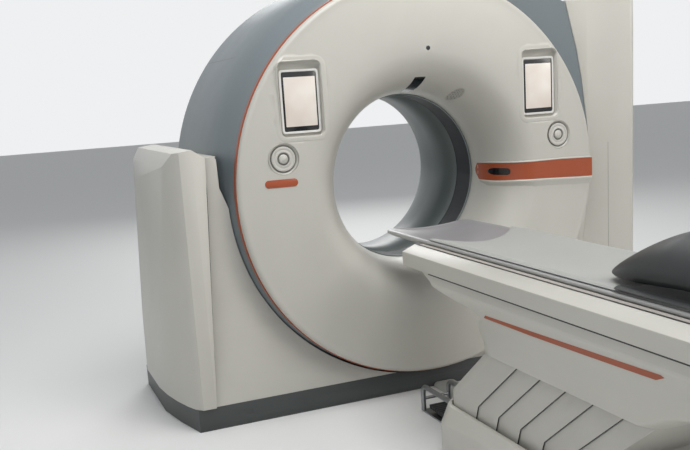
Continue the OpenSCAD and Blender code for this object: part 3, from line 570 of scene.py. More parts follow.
step = np.arange(LEDGE_STEPS)
fade = np.clip(np.minimum(step / 3 + 0.45, (LEDGE_STEPS - 1 - step) / 2 + 0.4), 0, 1)[:, None, None]
x = np.linspace(399, 902, LEDGE_STEPS)
ledges = []
for z_line, profile in ((STRIPE_LOW, LEDGE), (STRIPE_HIGH, BEAD)):
    spine = on_front(x, np.interp(x, STRIPE_X, z_line), 0.2)
    rings = swept(spine, profile)
    ledges.append(skin(spine[:, None] + (rings - spine[:, None]) * fade, angle=50))
finished("stripe_ledges", merged(ledges), "white_cover")
print("ledge from", x[0], "to", x[-1], "mm")

# %% Stripe and label
STRIPE_START, STRIPE_LONG, THROAT_EDGE = 397.2, 507.0, 397.0
LABEL_X, LABEL_Z, LABEL_R, LABEL_HALF = -715.5, 1065.0, 17.0, 55.5

close_rows = np.linspace(0, 1, 14)[:-1] ** 2 * 60
stripe_rings = []
for here in STRIPE_START + np.concatenate([close_rows, np.linspace(60, STRIPE_LONG, 60)]):
    z = np.linspace(np.interp(here, STRIPE_X, STRIPE_LOW), np.interp(here, STRIPE_X, STRIPE_HIGH), 7)
    x = np.maximum(here, np.sqrt(np.maximum(THROAT_EDGE**2 - (z - BORE_Z)**2, 0)))
    stripe_rings.append(np.concatenate([on_front(x, z, 1.5), on_front(x, z, 0.3)[::-1]]))

label = oval(2 * LABEL_R, 2 * LABEL_R, steps=40)
label[:, 0] += np.sign(np.round(label[:, 0], 6)) * LABEL_HALF
label_rings = [on_front(LABEL_X + label[:, 0] * k, LABEL_Z + label[:, 1] * k, lift)
               for k, lift in ((1, 0.3), (1, 1.3), (0.985, 1.7))]
paint = merged([skin(stripe_rings, angle=50), skin(label_rings)])
bands = finished("front_stripe", paint, "rust_paint")
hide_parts("orange_band")
print("stripe and label:", len(paint.polygons), "faces")

# %% [markdown]
# ## Pocket frames and side sensor
# Each tablet sits in a pocket with rounded corners. The solid's skin has long triangles round such a
# pocket, and they shade unevenly. So a thin frame of evenly spaced rings, lifted by half a millimetre,
# carries the disc's curve up to the pocket's edge. The small dark sensor window low on the left of the
# throat is a patch of the same curve.

# %% Pocket frames
POCKET_R, POCKET_X, POCKET_Z = 24.0, 599.0, 1413.0
CORNER = np.array([194.0, 314.0]) / 2 - POCKET_R
CORNER_STEPS, LEG_STEPS = 10, 12
FRAME_REACH = 878.0
LIP = ((0.4, -1.5), (0.4, 0.3), (1.0, 0.6), (8, 0.6), (15, 0.45), (21, 0.2), (23, -0.8), (23, -1.6))


def pocket_line():
    """Centres and outward directions round a pocket: four quarter circles and the straight legs between."""
    signs = np.array([(1, 1), (-1, 1), (-1, -1), (1, -1)])
    legs = np.linspace(0, 1, LEG_STEPS + 2)[1:-1, None]
    centre, out = [], []
    for k, (sign, after) in enumerate(zip(signs, np.roll(signs, -1, 0))):
        t = np.radians(np.linspace(90 * k, 90 * k + 90, CORNER_STEPS))
        ways = np.column_stack([np.cos(t), np.sin(t)])
        centre += [np.tile(CORNER * sign, (CORNER_STEPS, 1)), CORNER * (sign + (after - sign) * legs)]
        out += [ways, np.tile(ways[-1], (LEG_STEPS, 1))]
    return np.concatenate(centre), np.concatenate(out)


centre, out = pocket_line()
frames = []
for sign in (-1, 1):
    rings = []
    for away, lift in LIP:
        spot = centre + out * (POCKET_R + away) + (sign * POCKET_X, POCKET_Z - BORE_Z)
        spot *= np.minimum(1, FRAME_REACH / np.hypot(*spot.T))[:, None]
        rings.append(on_front(spot[:, 0], spot[:, 1] + BORE_Z, lift))
    frames.append(skin(np.stack(rings, 1), loop=True, angle=45))
finished("pocket_frames", merged(frames), "white_cover")
print("pocket edge:", len(centre), "points")

# %% Side sensor
radius, turn = np.meshgrid(np.linspace(398.5, 404, 9), np.radians(np.linspace(180.6, 186.0, 9)),
                           indexing="ij")
patch = on_front(radius * np.cos(turn), BORE_Z + radius * np.sin(turn), 1.0)
rim_line = np.concatenate([patch[0], patch[1:, -1], patch[-1, -2::-1], patch[-2:0:-1, 0]])
heart = rim_line.mean(0)
sensor = skin([heart + (rim_line - heart) * k + (out_by, 0, 0)
               for k, out_by in ((0.90, 1.5), (1.0, 0.4), (1.0, -1.5), (0.9, -1.5))])
finished("side_sensor", sensor, "dark_glass")
print("sensor", np.round(np.ptp(rim_line, axis=0), 1), "mm")

# %% [markdown]
# ## Control dishes
# Each dish is a round pan with a soft ring pad and a button in its middle. The turned profiles
# have the fine grooves that the solids leave out, and four short arcs stand on the ring as touch marks.

# %% Control dishes
DISH_X, DISH_Y, DISH_Z, MARK_R = 698.0, -389.0, 1167.0, 45.0
PAN = [(20.7, 2.6), (21.4, 1.6), (25.6, 1.6), (26.0, 4.0), (26.2, 7.4), (30, 7.6), (54, 7.6),
       (55.5, 7.4), (57.5, 6.6), (58.5, 3.6), (61, 0.5), (64, -2.2),
       (66, -3.0), (67.3, -2.6), (67.9, -1.2), (67.9, 13.5), (20.7, 13.5)]
RING = [(27.4, 1), (28, -1.2), (29.5, -2), (31, -1.7), (38, -1.5), (39, -0.9), (40.2, -0.9), (41.2, -1.5),
        (48.5, -1.8), (51, -1.6), (52.6, -0.4), (53, 1.5), (53, 3.0), (27.4, 3.0)]
KNOB = [(0.01, -6.4), (6, -6.1), (11, -5.2), (12, -4.4), (13, -4.6), (16.5, -3.4), (19, -1.2), (20, 1.0),
        (20, 3.5), (0.01, 3.5)]
GROOVES = [[(21.0, 1.3), (25.4, 1.3), (25.4, 2.0), (21.0, 2.0)],
           [(53.6, 3.0), (57.4, 3.0), (57.4, 6.9), (53.6, 6.9)]]


def dish_piece(name, profiles, marks, *finish):
    """A piece of turned profiles at the dish, with its marks merged in."""
    turns = [skin(turned(profile, spot), loop=True) for profile in profiles]
    return finished(name, merged(turns + marks), *finish)


for side, sign in (("left", -1), ("right", 1)):
    spot = (sign * DISH_X, DISH_Y, DISH_Z)
    marks = []
    for quarter in range(4):
        a = np.radians(np.linspace(-24, 24, 15) + 90 * quarter)
        arc = spot + np.column_stack([MARK_R * np.cos(a), np.full(15, -1.8), MARK_R * np.sin(a)])
        marks.append(skin(swept(arc, oval(2.2, 1.4, steps=10), up=(0, 1, 0))))
    pan = dish_piece(side + "_dish_pan", [PAN], [], "dish_grey")
    pad = dish_piece(side + "_pad_ring", [RING], marks, "pad_white", "pad_" + side)
    dish_piece(side + "_dish_grooves", GROOVES, [], "groove_grey", "machine", "dish_grey")
    knob = dish_piece(side + "_knob", [KNOB], [], "pad_white", "button_" + side)
    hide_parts(side + "_dish")
    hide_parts(side + "_pad")
    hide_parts(side + "_button")
print("dishes at", spot, "mm and its mirror image")

# %% [markdown]
# ## Tablets
# A tablet is a sheet of black glass in a white bezel, with a pale lit field set in from its edges. The
# field leaves a wider black bar above and below, as such screens do.

# %% Tablets
TABLET_X, TABLET_Z, GLASS_Y = 599.0, 1403.0, -374.8
GLASS_SIZE, FIELD_SIZE = (157, 248), (142, 207)


def plates(x, z, levels, power, steps, angle=35):
    """A skin of superellipses round (x, z), one for each (y, width, height) of levels."""
    rings = []
    for y, width, height in levels:
        edge = oval(width, height, power, steps)
        rings.append(np.column_stack([x + edge[:, 0], np.full(steps, y), z + edge[:, 1]]))
    return skin(rings, angle=angle)


def pane(x, z, size, front, back, soft, power):
    """A thin plate that faces the patient and draws in by soft at its front edge."""
    levels = ((front, soft), (front + soft * 0.3, soft * 0.3), (front + soft, 0), (back, 0))
    return plates(x, z, [(y, size[0] - 2 * d, size[1] - 2 * d) for y, d in levels], power, 72)


glass, fields = [], []
for x in (-TABLET_X, TABLET_X):
    glass.append(pane(x, TABLET_Z, GLASS_SIZE, GLASS_Y, GLASS_Y + 1.7, 0.4, 26))
    fields.append(pane(x + 1.5, TABLET_Z - 1, FIELD_SIZE, GLASS_Y - 0.15, GLASS_Y + 0.6, 0.1, 90))
screens = finished("tablet_glass", merged(glass), "dark_glass", "machine", "screen")
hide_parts("tablet_screens")
finished("tablet_fields", merged(fields), "screen")

# %% [markdown]
# ## Covers with rounded plans
# The base, the first slat and the pedestal's head have wide rounds at their front corners in plan. Each is
# a stack of outlines: every height has its own half width, front, back and corner radius, and all outlines
# have the same number of points, so the skin between them is even.

# %% Base cover
SIDE_STEPS = 16
BASE = (345, -935, -2070, 150, 60)
WELL = (292, -968, -2044, 104, 4)
QUARTER = np.linspace(0, math.pi / 2, CORNER_STEPS)


def outline(half, front, back, round_front, round_back):
    """A closed plan as (x, y): straight sides and quarter circles, from the back left round the front."""
    c, v = np.cos(QUARTER), np.sin(QUARTER)
    straight = np.linspace(back + round_back, front - round_front, SIDE_STEPS + 2)[1:-1]
    left = np.stack([np.full(SIDE_STEPS, -half), straight], -1)
    front_left = np.stack([-half + round_front * (1 - c), front - round_front * (1 - v)], -1)
    back_left = np.stack([-half + round_back * (1 - v), back + round_back * (1 - c)], -1)
    half_way = np.concatenate([back_left, left, front_left])
    return np.concatenate([half_way, half_way[::-1] * (-1, 1)])


def stacked(levels):
    """Rings from levels of (height, half, front, back, round_front, round_back); height may depend on y."""
    rings = []
    for height, *plan in levels:
        flat = outline(*plan)
        z = height(flat[:, 1]) if callable(height) else np.full(len(flat), height)
        rings.append(np.column_stack([flat, z]))
    return np.array(rings)


def crease(above):
    """Height, as a function of y, that lies above the base cover's crease, which dips towards the front."""
    return lambda y: 150 - 32 * np.clip((y + 1330) / 320, 0, 1) ** 1.5 + above


def inset(plan, d):
    """The same plan drawn in by d on every side."""
    half, front, back, round_front, round_back = plan
    return half - d, front - d, back + d, max(round_front - d, 3), max(round_back - d, 3)


base_levels = [
    (2, *inset(BASE, 6)), (2, *inset(BASE, 2)), (4, *inset(BASE, 0.4)), (8, *BASE),
    (crease(-6), *BASE), (crease(-1), *inset(BASE, 0.8)), (crease(4), *inset(BASE, 3.5)),
    (188, *inset(BASE, 28)), (193, *inset(BASE, 31.5)), (195.4, *inset(BASE, 35)), (196, *inset(BASE, 37)),
    (196, *inset(WELL, -3)), (195, *inset(WELL, -1)), (192, *WELL), (120, *WELL), (120, *inset(WELL, -5)),
    (140, *inset(BASE, 50)), (crease(-6), *inset(BASE, 8)), (8, *inset(BASE, 6))]
replaced("base_cover_moulded", skin(stacked(base_levels), loop=True, angle=50), "base_cover")
print("base cover:", len(base_levels), "outlines")

# %% [markdown]
# ## Pedestal head
# The head hangs under the beam and hides the tops of the slats. Its front runs back to a soft crease and then
# forward again over the slats, and its lower corners are rounder than its upper ones, so a table of heights
# says it best. It is a thin shell, open below. The orange stripe lies on its sides, and over it a black strip
# paints the shade in the gap under the beam.

# %% Pedestal head
# Height, front, half width and corner radius of the head, from the beam down to its lower edge
HEAD = [(706, -848, 309, 24), (690, -883, 310, 26), (674, -915, 310, 30), (670, -923, 311.5, 30),
        (665, -935, 315, 32), (660, -946, 316, 34), (652, -995, 316, 36), (640, -1098, 316, 40),
        (628, -1200, 316, 46), (618, -1278, 316, 50), (608, -1293, 315.2, 52), (598, -1280, 313.6, 58),
        (585, -1256, 311, 68), (570, -1232, 308.8, 92), (556, -1219, 306.5, 110), (538, -1217, 303.4, 122),
        (520, -1220, 300.4, 128), (500, -1224, 297, 128), (484, -1227, 294.4, 122), (474, -1229, 292.8, 118),
        (468, -1231, 291, 116)]
REAR_Z, REAR_Y = (468, 533, 610, 706), (-2180, -2312, -2618, -2716)
SIDE_WALL, FRONT_WALL, REAR_WALL = 2.4, 2.6, 5

outer = [(z, half, front, np.interp(z, REAR_Z, REAR_Y), corner, 70) for z, front, half, corner in HEAD]
inner = [(z, half - SIDE_WALL, front - FRONT_WALL, back + REAR_WALL, corner, 66)
         for z, half, front, back, corner, _ in outer[::-1]]
replaced("pedestal_head", skin(stacked(outer + inner), loop=True, angle=50), "pedestal_cover")
print("head:", len(HEAD), "heights")

# %% Stripe of the head and painted shade in the gap over it
SIDE_STRIPE = np.array([(-1352, 617), (-1362, 628), (-1642, 635), (-1926, 643.5), (-2162, 650.5),
                        (-2238, 653), (-2253, 648.5), (-2222, 634.5), (-2162, 632.5), (-1925, 626),
                        (-1641, 619.5)])
stripe_heart = SIDE_STRIPE.mean(0)
stripes, gap_shades = [], []
for sign in (-1, 1):
    rings = []
    for x, k in ((315.2, 1.0), (316.5, 1.0), (317.0, 0.997)):
        flat = stripe_heart + (SIDE_STRIPE - stripe_heart) * k
        rings.append(np.column_stack([np.full(len(flat), sign * x), flat]))
    stripes.append(skin(rings))
    # A black strip paints the shade in the gap under the beam's overhang.
    path = [(sign * 310.2, y, 703.6) for y in np.linspace(-926, -2680, 30)]
    gap_shades.append(skin(swept(path, [(-0.8, -2.6), (0.8, -2.6), (0.8, 2.6), (-0.8, 2.6)])))
replaced("head_stripe", merged(stripes), "orange_stripe")
finished("beam_gap_shades", merged(gap_shades), "black_plastic_and_shade", BODY_OF["pedestal_cover"], "dark_plastic")
print("stripe", np.ptp(SIDE_STRIPE[:, 0]), "mm long")

# %% [markdown]
# ## First slat and the seals
# The lowest slat is a shell bent round the front, leaning back above a bend and upright below it. The other
# slats telescope behind it, and a black lip seal closes the step from each to the next.

# %% First slat and the seals
LEAN = math.tan(math.radians(39.6))
BEND_Z, HINGE_Z, SLAT_FOOT, SLAT_TOP = 245.0, 165.0, 151.0, 505.0
SLAT_FRONT, SLAT_REAR, SLAT_PITCH, SLAT_HALF, SLAT_WALL = -975.0, -1240.0, 135, 287.0, 3


def slat_y(y, shift, z):
    """Place of a slat's edge at height z: leaning above the bend, and coming forward by shift below it."""
    below = y + shift * np.clip((BEND_Z - z) / (BEND_Z - HINGE_Z), 0, 1)
    return np.where(z > BEND_Z, y - (z - BEND_Z) / LEAN, below)


def u_plan(half, front, back, radius):
    """An open plan from the back on the left round the front to the back on the right."""
    a = np.linspace(0, math.pi / 2, 14)
    side = np.stack([np.full(6, -half), np.linspace(back, front - radius, 6)], -1)
    corner = np.stack([-half + radius * (1 - np.cos(a)), front - radius * (1 - np.sin(a))], -1)
    left = np.concatenate([side, corner[1:]])
    return np.concatenate([left, left[::-1] * (-1, 1)])


heights = np.r_[np.linspace(SLAT_FOOT, HINGE_Z, 3), np.linspace(180, BEND_Z - 8, 5), BEND_Z - 2, BEND_Z + 2,
                np.linspace(BEND_Z + 8, SLAT_TOP, 26)]
rings = []
for z in heights:
    back, front = float(slat_y(SLAT_REAR, 28.0, z)), float(slat_y(SLAT_FRONT, 0.0, z))
    plan = np.concatenate([u_plan(SLAT_HALF, front, back, 100),
                           u_plan(SLAT_HALF - SLAT_WALL, front - SLAT_WALL, back, 100 - SLAT_WALL)[::-1]])
    rings.append(np.column_stack([plan, np.full(len(plan), z)]))
replaced("slat_1_bent", skin(rings, angle=25), "slat_1")

z = np.r_[SLAT_FOOT, HINGE_Z, 200, BEND_Z - 1, BEND_Z + 1, np.linspace(260, SLAT_TOP - 2, 12)]
for k in range(1, 6):
    y = slat_y(SLAT_REAR - SLAT_PITCH * (k - 1), 28.0, z) - 1.2
    lines = []
    for sign in (-1, 1):
        path = np.column_stack([np.full(len(z), sign * (SLAT_HALF - 1.2 - 4 * (k - 1))), y, z])
        lines.append(skin(swept(path, [(-1.3, -1.5), (1.3, -1.5), (1.3, 1.5), (-1.3, 1.5)], up=(1, 0, 0))))
    finished(f"slat_{k}_seal", merged(lines), "black_plastic_and_shade", BODY_OF[f"slat_{k}"], "dark_plastic")

# %% [markdown]
# ## Tabletop
# The top is a thin carbon sandwich with a shallow trough and a round bead along each edge. Its section is
# carried along the bore, and the last rings draw in, so its tip is round in plan and thinner than the rest.

# %% Tabletop
TIP_Y, FOOT_Y, TIP_ROUND = -325.0, -2375.0, 60
TROUGH_HALF, TROUGH_LOW, TROUGH_RISE = 197.0, 778.0, 24.0
TOP_HALF, TOP_Z = 222.6, 797
EDGE_X, EDGE_Z, EDGE_R = 214, 795.3, 8.6


def trough(x):
    """Height of the tabletop's upper face: a parabola between its beads."""
    return TROUGH_LOW + TROUGH_RISE * np.minimum(np.abs(x) / TROUGH_HALF, 1) ** 2


across_top = np.linspace(-TROUGH_HALF, TROUGH_HALF, 41)
turn = np.radians(np.linspace(100, -150, 14))
edge = np.column_stack([EDGE_X + EDGE_R * np.cos(turn), EDGE_Z + EDGE_R * np.sin(turn)])
right = np.concatenate([edge, [(207, 781), (196, 775.5), (160, 768), (121, 761), (116, 760)]])
section = np.concatenate([np.column_stack([across_top, trough(across_top)]), right, right[::-1] * (-1, 1)])
set_back = np.array([0, 0.8, 2.5, 5.5, 10, 16, 24, 34, 46, TIP_ROUND])
rows = np.r_[TIP_Y - set_back, np.linspace(TIP_Y - 80, FOOT_Y + 20, 60), FOOT_Y + 8, FOOT_Y]
draw = np.zeros(len(rows))
draw[:len(set_back)] = TIP_ROUND - np.sqrt(TIP_ROUND**2 - (TIP_ROUND - set_back)**2)
rings = []
for y, d in zip(rows, draw):
    x = section[:, 0] * (TOP_HALF - d * 0.75) / TOP_HALF
    z = TOP_Z + (section[:, 1] - TOP_Z) * (1 - d / TIP_ROUND * 0.55)
    rings.append(np.column_stack([x, np.full(len(x), y), z]))
replaced("tabletop_sandwich", skin(rings, angle=30), "tabletop")
print("tabletop", TIP_Y - FOOT_Y, "mm long")

# %% [markdown]
# ## Edge of the tabletop
# From the side, the edge of the top is a pile of thin lines: the bead, painted a paler grey than the top for
# the highlight along it, a black strip under it that paints the shadow under the top's edge, the pale cap of
# the rail and the dark joints on both sides of the rail. Each is a strip that runs the length of the table.

# %% Edge of the tabletop
RAIL_START, RAIL_END = -740, -2750
CAP = [(-10.2, -1), (10.2, -1), (10.2, 0.4), (9.6, 1), (-9.6, 1), (-10.2, 0.4)]


def along_table(x, z, start, end, steps, profile):
    """A straight strip with the given profile, along the bore at x and z."""
    return skin(swept([(x, y, z) for y in np.linspace(start, end, steps)], profile))


def flat_line(wide):
    """The profile of a flat line, twice wide across and 1 mm thick."""
    return [(-wide, -0.5), (wide, -0.5), (wide, 0.5), (-wide, 0.5)]


shade_strips, joints, rail_caps, beads = [], [], [], []
for sign in (-1, 1):
    # A black strip under each edge of the top paints the shadow between the top and the rails.
    shade_strips.append(along_table(sign * 217.2, 782.4, RAIL_START, FOOT_Y + 4, 50, oval(10, 9, 2.6, 16)))
    joints.append(along_table(sign * 257.6, 790.25, -736, -2758, 40, flat_line(1.6)))
    joints.append(along_table(sign * 249.0, 788.4, -736, -2758, 40, flat_line(1.2)))
    rail_caps.append(along_table(sign * 236.8, 788.6, RAIL_START, RAIL_END, 40, CAP))
    # The beads are the carbon top's own edge, in a paler grey that paints the highlight along them.
    beads.append(along_table(sign * 214.2, 795.6, TIP_Y - 46, FOOT_Y + 2, 50, oval(19.2, 17.8, 2.2, 20)))
finished("rail_caps", merged(rail_caps), "cap_grey", BODY_OF["side_rails"], "rail_alloy")
finished("top_beads", merged(beads), "bead_highlight_grey", BODY_OF["tabletop"], "carbon_top")
finished("top_shade_strips", merged(shade_strips), "black_plastic_and_shade", BODY_OF["tabletop"], "dark_plastic")
finished("rail_lines", merged(joints), "black_plastic_and_shade", BODY_OF["side_rails"], "dark_plastic")

# %% [markdown]
# ## Mattress
# The mat is a thin foam pad in coated cloth. It lies in the trough and ends in a round cut-out towards the
# gantry. Its closed form is worked out first. Then cloth under a little air pressure crowns it between
# its welded edges, as foam does, while the underside stays where it lies.

# %% Form of the mat
MAT_FOOT, MAT_HALF, MAT_THICK, MAT_EDGE = -2333.0, 215.5, 12.6, 8.6
CUT_X, CUT_Y, CUT_R = -20.0, -560.0, 280.5
EDGE_ROUND, EDGE_FADE, END_ROWS = 5.0, 22, (0, 0.5, 1.4, 2.8, 5.0, 9.0, 15.0)
ACROSS, SPREAD = 46, 1.35


def mat_end(x):
    """Place along the bore where the mat ends at x: the far side of a circle."""
    return CUT_Y - np.sqrt(CUT_R**2 - (np.clip(x, -MAT_HALF, MAT_HALF) - CUT_X)**2)


def mat_under(x):
    """Height of the mat's underside: just over the trough, and flat on the beads."""
    return np.maximum(trough(x) + 0.5, np.where(np.abs(x) > 196, 804.5, 0))


def mat_thick(x):
    """Thickness of the mat, which falls from MAT_THICK to MAT_EDGE over its last millimetres."""
    return MAT_EDGE + (MAT_THICK - MAT_EDGE) * np.clip((MAT_HALF - np.abs(x)) / EDGE_FADE, 0, 1)


def rounding(away):
    """The share of the full thickness at a distance from the mat's edge: a quarter circle."""
    return np.sqrt(1 - (1 - np.clip(away / EDGE_ROUND, 0, 1)) ** 2)


x_line = MAT_HALF * np.sin(np.linspace(-1, 1, ACROSS) * SPREAD) / math.sin(SPREAD)
head_line, under = mat_end(x_line), mat_under(x_line)
full_thick = mat_thick(x_line) * rounding(MAT_HALF - np.abs(x_line))
rows = [(e, head_line - e) for e in END_ROWS]
for u in np.linspace(0, 1, 118)[1:-1]:
    rows.append((END_ROWS[-1], head_line - END_ROWS[-1] + u * (MAT_FOOT + 2 * END_ROWS[-1] - head_line)))
rows += [(e, np.full(ACROSS, MAT_FOOT + e)) for e in END_ROWS[::-1]]
grid = []
for e, y in rows:
    thick = full_thick * rounding(e)
    base = np.where(thick < MAT_EDGE, under + MAT_EDGE / 2 - thick / 2, under)
    up = np.column_stack([x_line, y, base + thick])
    down = np.column_stack([x_line, y, base])[::-1][1:-1]
    grid.append(np.concatenate([up, down]))
mat = finished("mattress_pad", skin(grid, angle=60), "pad_fabric", BODY_OF["mattress"])
print("mat:", len(grid), "rows")

# %% Cloth of the mat
CLOTH = {"use_pressure": True, "uniform_pressure_force": 4.0, "vertex_group_mass": "held",
         "tension_stiffness": 25, "compression_stiffness": 25, "bending_stiffness": 4}
CLOTH_FRAMES, MOST_RISE = 20, 0.0022


def crowned(piece, pinned):
    """Blows a closed mesh up as cloth under pressure and keeps at most MOST_RISE metres of the move."""
    mesh = piece.data
    start = np.empty(len(mesh.vertices) * 3)
    mesh.vertices.foreach_get("co", start)
    group = piece.vertex_groups.new(name="held")
    group.add([int(i) for i in np.flatnonzero(pinned(start.reshape(-1, 3)))], 1.0, "REPLACE")
    cloth = piece.modifiers.new("cloth", "CLOTH")
    for key, value in CLOTH.items():
        setattr(cloth.settings, key, value)
    cloth.settings.effector_weights.gravity = 0
    cloth.collision_settings.use_collision = False
    cloth.point_cache.frame_end = CLOTH_FRAMES
    scene = bpy.context.scene
    for frame_number in range(1, CLOTH_FRAMES + 1):
        scene.frame_set(frame_number)
    settled = piece.evaluated_get(bpy.context.evaluated_depsgraph_get()).data
    end = np.empty(len(start))
    settled.vertices.foreach_get("co", end)
    move = (end - start).reshape(-1, 3)
    length = np.linalg.norm(move, axis=1)[:, None]
    move *= np.minimum(1, MOST_RISE / np.maximum(length, 1e-9))
    piece.modifiers.remove(cloth)
    piece.vertex_groups.remove(group)
    mesh.vertices.foreach_set("co", (start.reshape(-1, 3) + move).ravel())
    mesh.update()
    scene.frame_set(1)
    return float(length.max())


def underside(points):
    """True for points on the mat's underside and at its welded rim."""
    x, _, z = points.T * 1000
    return (z < mat_under(x) + 4.6) | (np.abs(x) > MAT_HALF - 3)


print("mat moved", round(crowned(mat, underside) * 1000, 2), "mm before the cap")
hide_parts("mattress")

# %% Seam of the mat
x = np.linspace(-MAT_HALF, MAT_HALF, 60)
seam_x = np.r_[np.full(70, -MAT_HALF), x, np.full(70, MAT_HALF)]
seam_y = np.r_[np.linspace(MAT_FOOT, mat_end(-MAT_HALF), 70), mat_end(x),
               np.linspace(mat_end(MAT_HALF), MAT_FOOT, 70)]
apart = np.r_[True, np.hypot(np.diff(seam_x), np.diff(seam_y)) > 0.5]
seam = np.column_stack([seam_x, seam_y, mat_under(seam_x) + MAT_EDGE / 2])[apart]
tube = skin(swept(seam, oval(3.0, 2.2, steps=10)))
finished("mattress_seam", tube, "seam_grey", BODY_OF["mattress"], "pad_fabric")
print("seam:", len(seam), "points")

# %% [markdown]
# ## Leg support
# A dark moulded shell stands on the foot end of the mat. In plan it has a blunt prow and from the side it
# rises in one long curve. A pale rim follows its ridge, and under it lies a thin dark flange on the mat.

# %% Leg support
PROW, SHELL_FOOT, SHELL_HALF, SHELL_HIGH = -1733.0, -2388.0, 189.0, 149.0
WIDE_LONG, HIGH_LONG, BASE_LONG, BASE_Z, BASE_RISE, RIDGE_DROP = 300, 337.0, 430, 820, 26, 8
SHELL_WALL, ARCH_STEPS = 5.0, 49


def shell_half(s):
    """Half width of the shell at a distance s from its prow."""
    return SHELL_HALF * np.sqrt(1 - (1 - np.minimum(s / WIDE_LONG, 1)) ** 2.2)


def shell_base(s):
    """Height of the shell's lower edge, which rises from its prow."""
    return BASE_Z + BASE_RISE * np.minimum(s / BASE_LONG, 1)


def shell_high(s):
    """Height of the shell's arch over its lower edge."""
    arch_high = SHELL_HIGH * (1 - (1 - np.minimum(s / HIGH_LONG, 1)) ** 1.5)
    return arch_high - RIDGE_DROP * np.minimum(s / BASE_LONG, 1)


arch = np.linspace(0, math.pi, ARCH_STEPS)
tuck = 1 - 0.07 * np.exp(-np.sin(arch) * 9)
rings = []
for s in np.linspace(0.02, 1, 70) ** 1.7 * (PROW - SHELL_FOOT):
    y = np.full(ARCH_STEPS, PROW - s)
    x, rise = shell_half(s) * np.cos(arch) * tuck, shell_high(s) * np.sin(arch)
    narrow = max(0.0, 1 - SHELL_WALL / max(shell_half(s), SHELL_WALL + 1))
    lower = max(0.0, 1 - SHELL_WALL / max(shell_high(s), SHELL_WALL + 1))
    outside = np.column_stack([x, y, shell_base(s) + rise])
    inside = np.column_stack([x * narrow, y, shell_base(s) + rise * lower])
    rings.append(np.concatenate([outside, inside[::-1]]))
replaced("leg_shell_moulded", skin(rings, angle=45), "leg_shell")
print("shell", PROW - SHELL_FOOT, "mm long")

# %% Rim and flange of the leg support
FLANGE_HALF, FLANGE_THICK, FLANGE_GAP = 222, 5.0, 3.0

s = np.linspace(0.03, 1, 60) ** 1.7 * (PROW - SHELL_FOOT)
turn = np.radians(74 + 40 * np.exp(-s / 60))
ridge_z = shell_base(s) + shell_high(s) * np.sin(turn) + 0.4
ridge = np.column_stack([shell_half(s) * np.cos(turn), PROW - s, ridge_z])
tube = skin(swept(ridge, oval(6, 4, steps=12)))
finished("leg_shell_rim", tube, "rim_grey", BODY_OF["leg_shell"], "grey_shell")

x = np.linspace(-FLANGE_HALF, FLANGE_HALF, 61)
low_z = mat_under(x) + mat_thick(x) + FLANGE_GAP
thick = FLANGE_THICK * np.sqrt(1 - (np.abs(x) / (FLANGE_HALF + 0.01)) ** 16)
nose = 30 * (1 - (1 - np.abs(x) / (FLANGE_HALF + 0.1)) ** 0.5)
rings = []
for y, share, nosed in ((-1905, 0.15, 1), (-1906, 0.6, 1), (-1908.5, 0.9, 1), (-1913, 1.0, 1),
                        (-2150, 1.0, 0), (-2370, 1.0, 0), (-2376, 0.8, 0)):
    top = np.column_stack([x, y - nose * nosed, low_z + thick * share])
    low = np.column_stack([x, y - nose * nosed, low_z])[::-1]
    rings.append(np.concatenate([top, low]))
finished("leg_flange", skin(rings, angle=40), "shell_grey", BODY_OF["leg_shell"], "grey_shell")

# %% [markdown]
# ## Floor duct
# A low duct carries the table's cables along the floor to the gantry. It is pressed sheet with sloping sides,
# and it rises to a box where it meets the base cover.

# %% Floor duct
DUCT_X = 60
duct = []
for y, half, high in ((-313, 52, 20), (-340, 56, 26), (-860, 56, 26), (-905, 58, 40), (-934, 60, 62)):
    left = np.array([(-half, 0.5), (-half, high * 0.35), (-half + 6, high * 0.75), (-half + 16, high)])
    edge = np.concatenate([left, left[::-1] * (-1, 1)])
    duct.append(np.column_stack([DUCT_X + edge[:, 0], np.full(8, y), edge[:, 1]]))
replaced("duct_moulded", skin(duct, angle=30), "floor_duct")
print("duct:", len(duct), "sections")

# %% [markdown]
# ## Backs and sides
# The photograph shows only the front. The plain backs get what such covers have: louvred vents where the warm
# air leaves, round caps over their fixings, and the thin seams between the panels. Each lies on its cover.
# Where the cover is curved, a ray sent at the solid's own skin says how deep it lies.

# %% Finding a cover's surface
BACK_Y = 530.0


def surface_of(node):
    """The CAD mesh of a node as a tree that rays can be sent to, in metres."""
    mesh = nodes[node].data
    mesh.calc_loop_triangles()
    points = np.empty(3 * len(mesh.vertices))
    corners = np.empty(3 * len(mesh.loop_triangles), int)
    mesh.vertices.foreach_get("co", points)
    mesh.loop_triangles.foreach_get("vertices", corners)
    return BVHTree.FromPolygons(points.reshape(-1, 3).tolist(), corners.reshape(-1, 3).tolist())


def met(surface, start, way):
    """Where a ray from start, in millimetres, meets the surface, or None."""
    hit = surface.ray_cast(Vector(start) / 1000, way)[0]
    return np.array(hit) * 1000 if hit else None


def back_y(x, z):
    """Place along the bore of the rear cover's face at x and z."""
    return met(rear_face, (x, 1000, z), (0, -1, 0))[1]


rear_face = surface_of("rear_cover")
print("rear cover at", round(back_y(700, BORE_Z)), "mm")

# %% Vents and fixing caps
VENTS = ((-1120, -1000, 900, 1100), (-1160, -1000, 190, 330), (890, 1060, 1380, 1620), (890, 1110, 190, 330))
CAP_PLACES = ((-1190, 150), (-1130, 1140), (-985, 150), (870, 150), (1140, 150), (880, 1690), (1080, 1690),
              (-700, 150), (-300, 150), (300, 150), (700, 150))
LOUVRE = [(-1, -5), (1.0, -5), (4.5, 2), (4.5, 4), (-1, 4.5)]


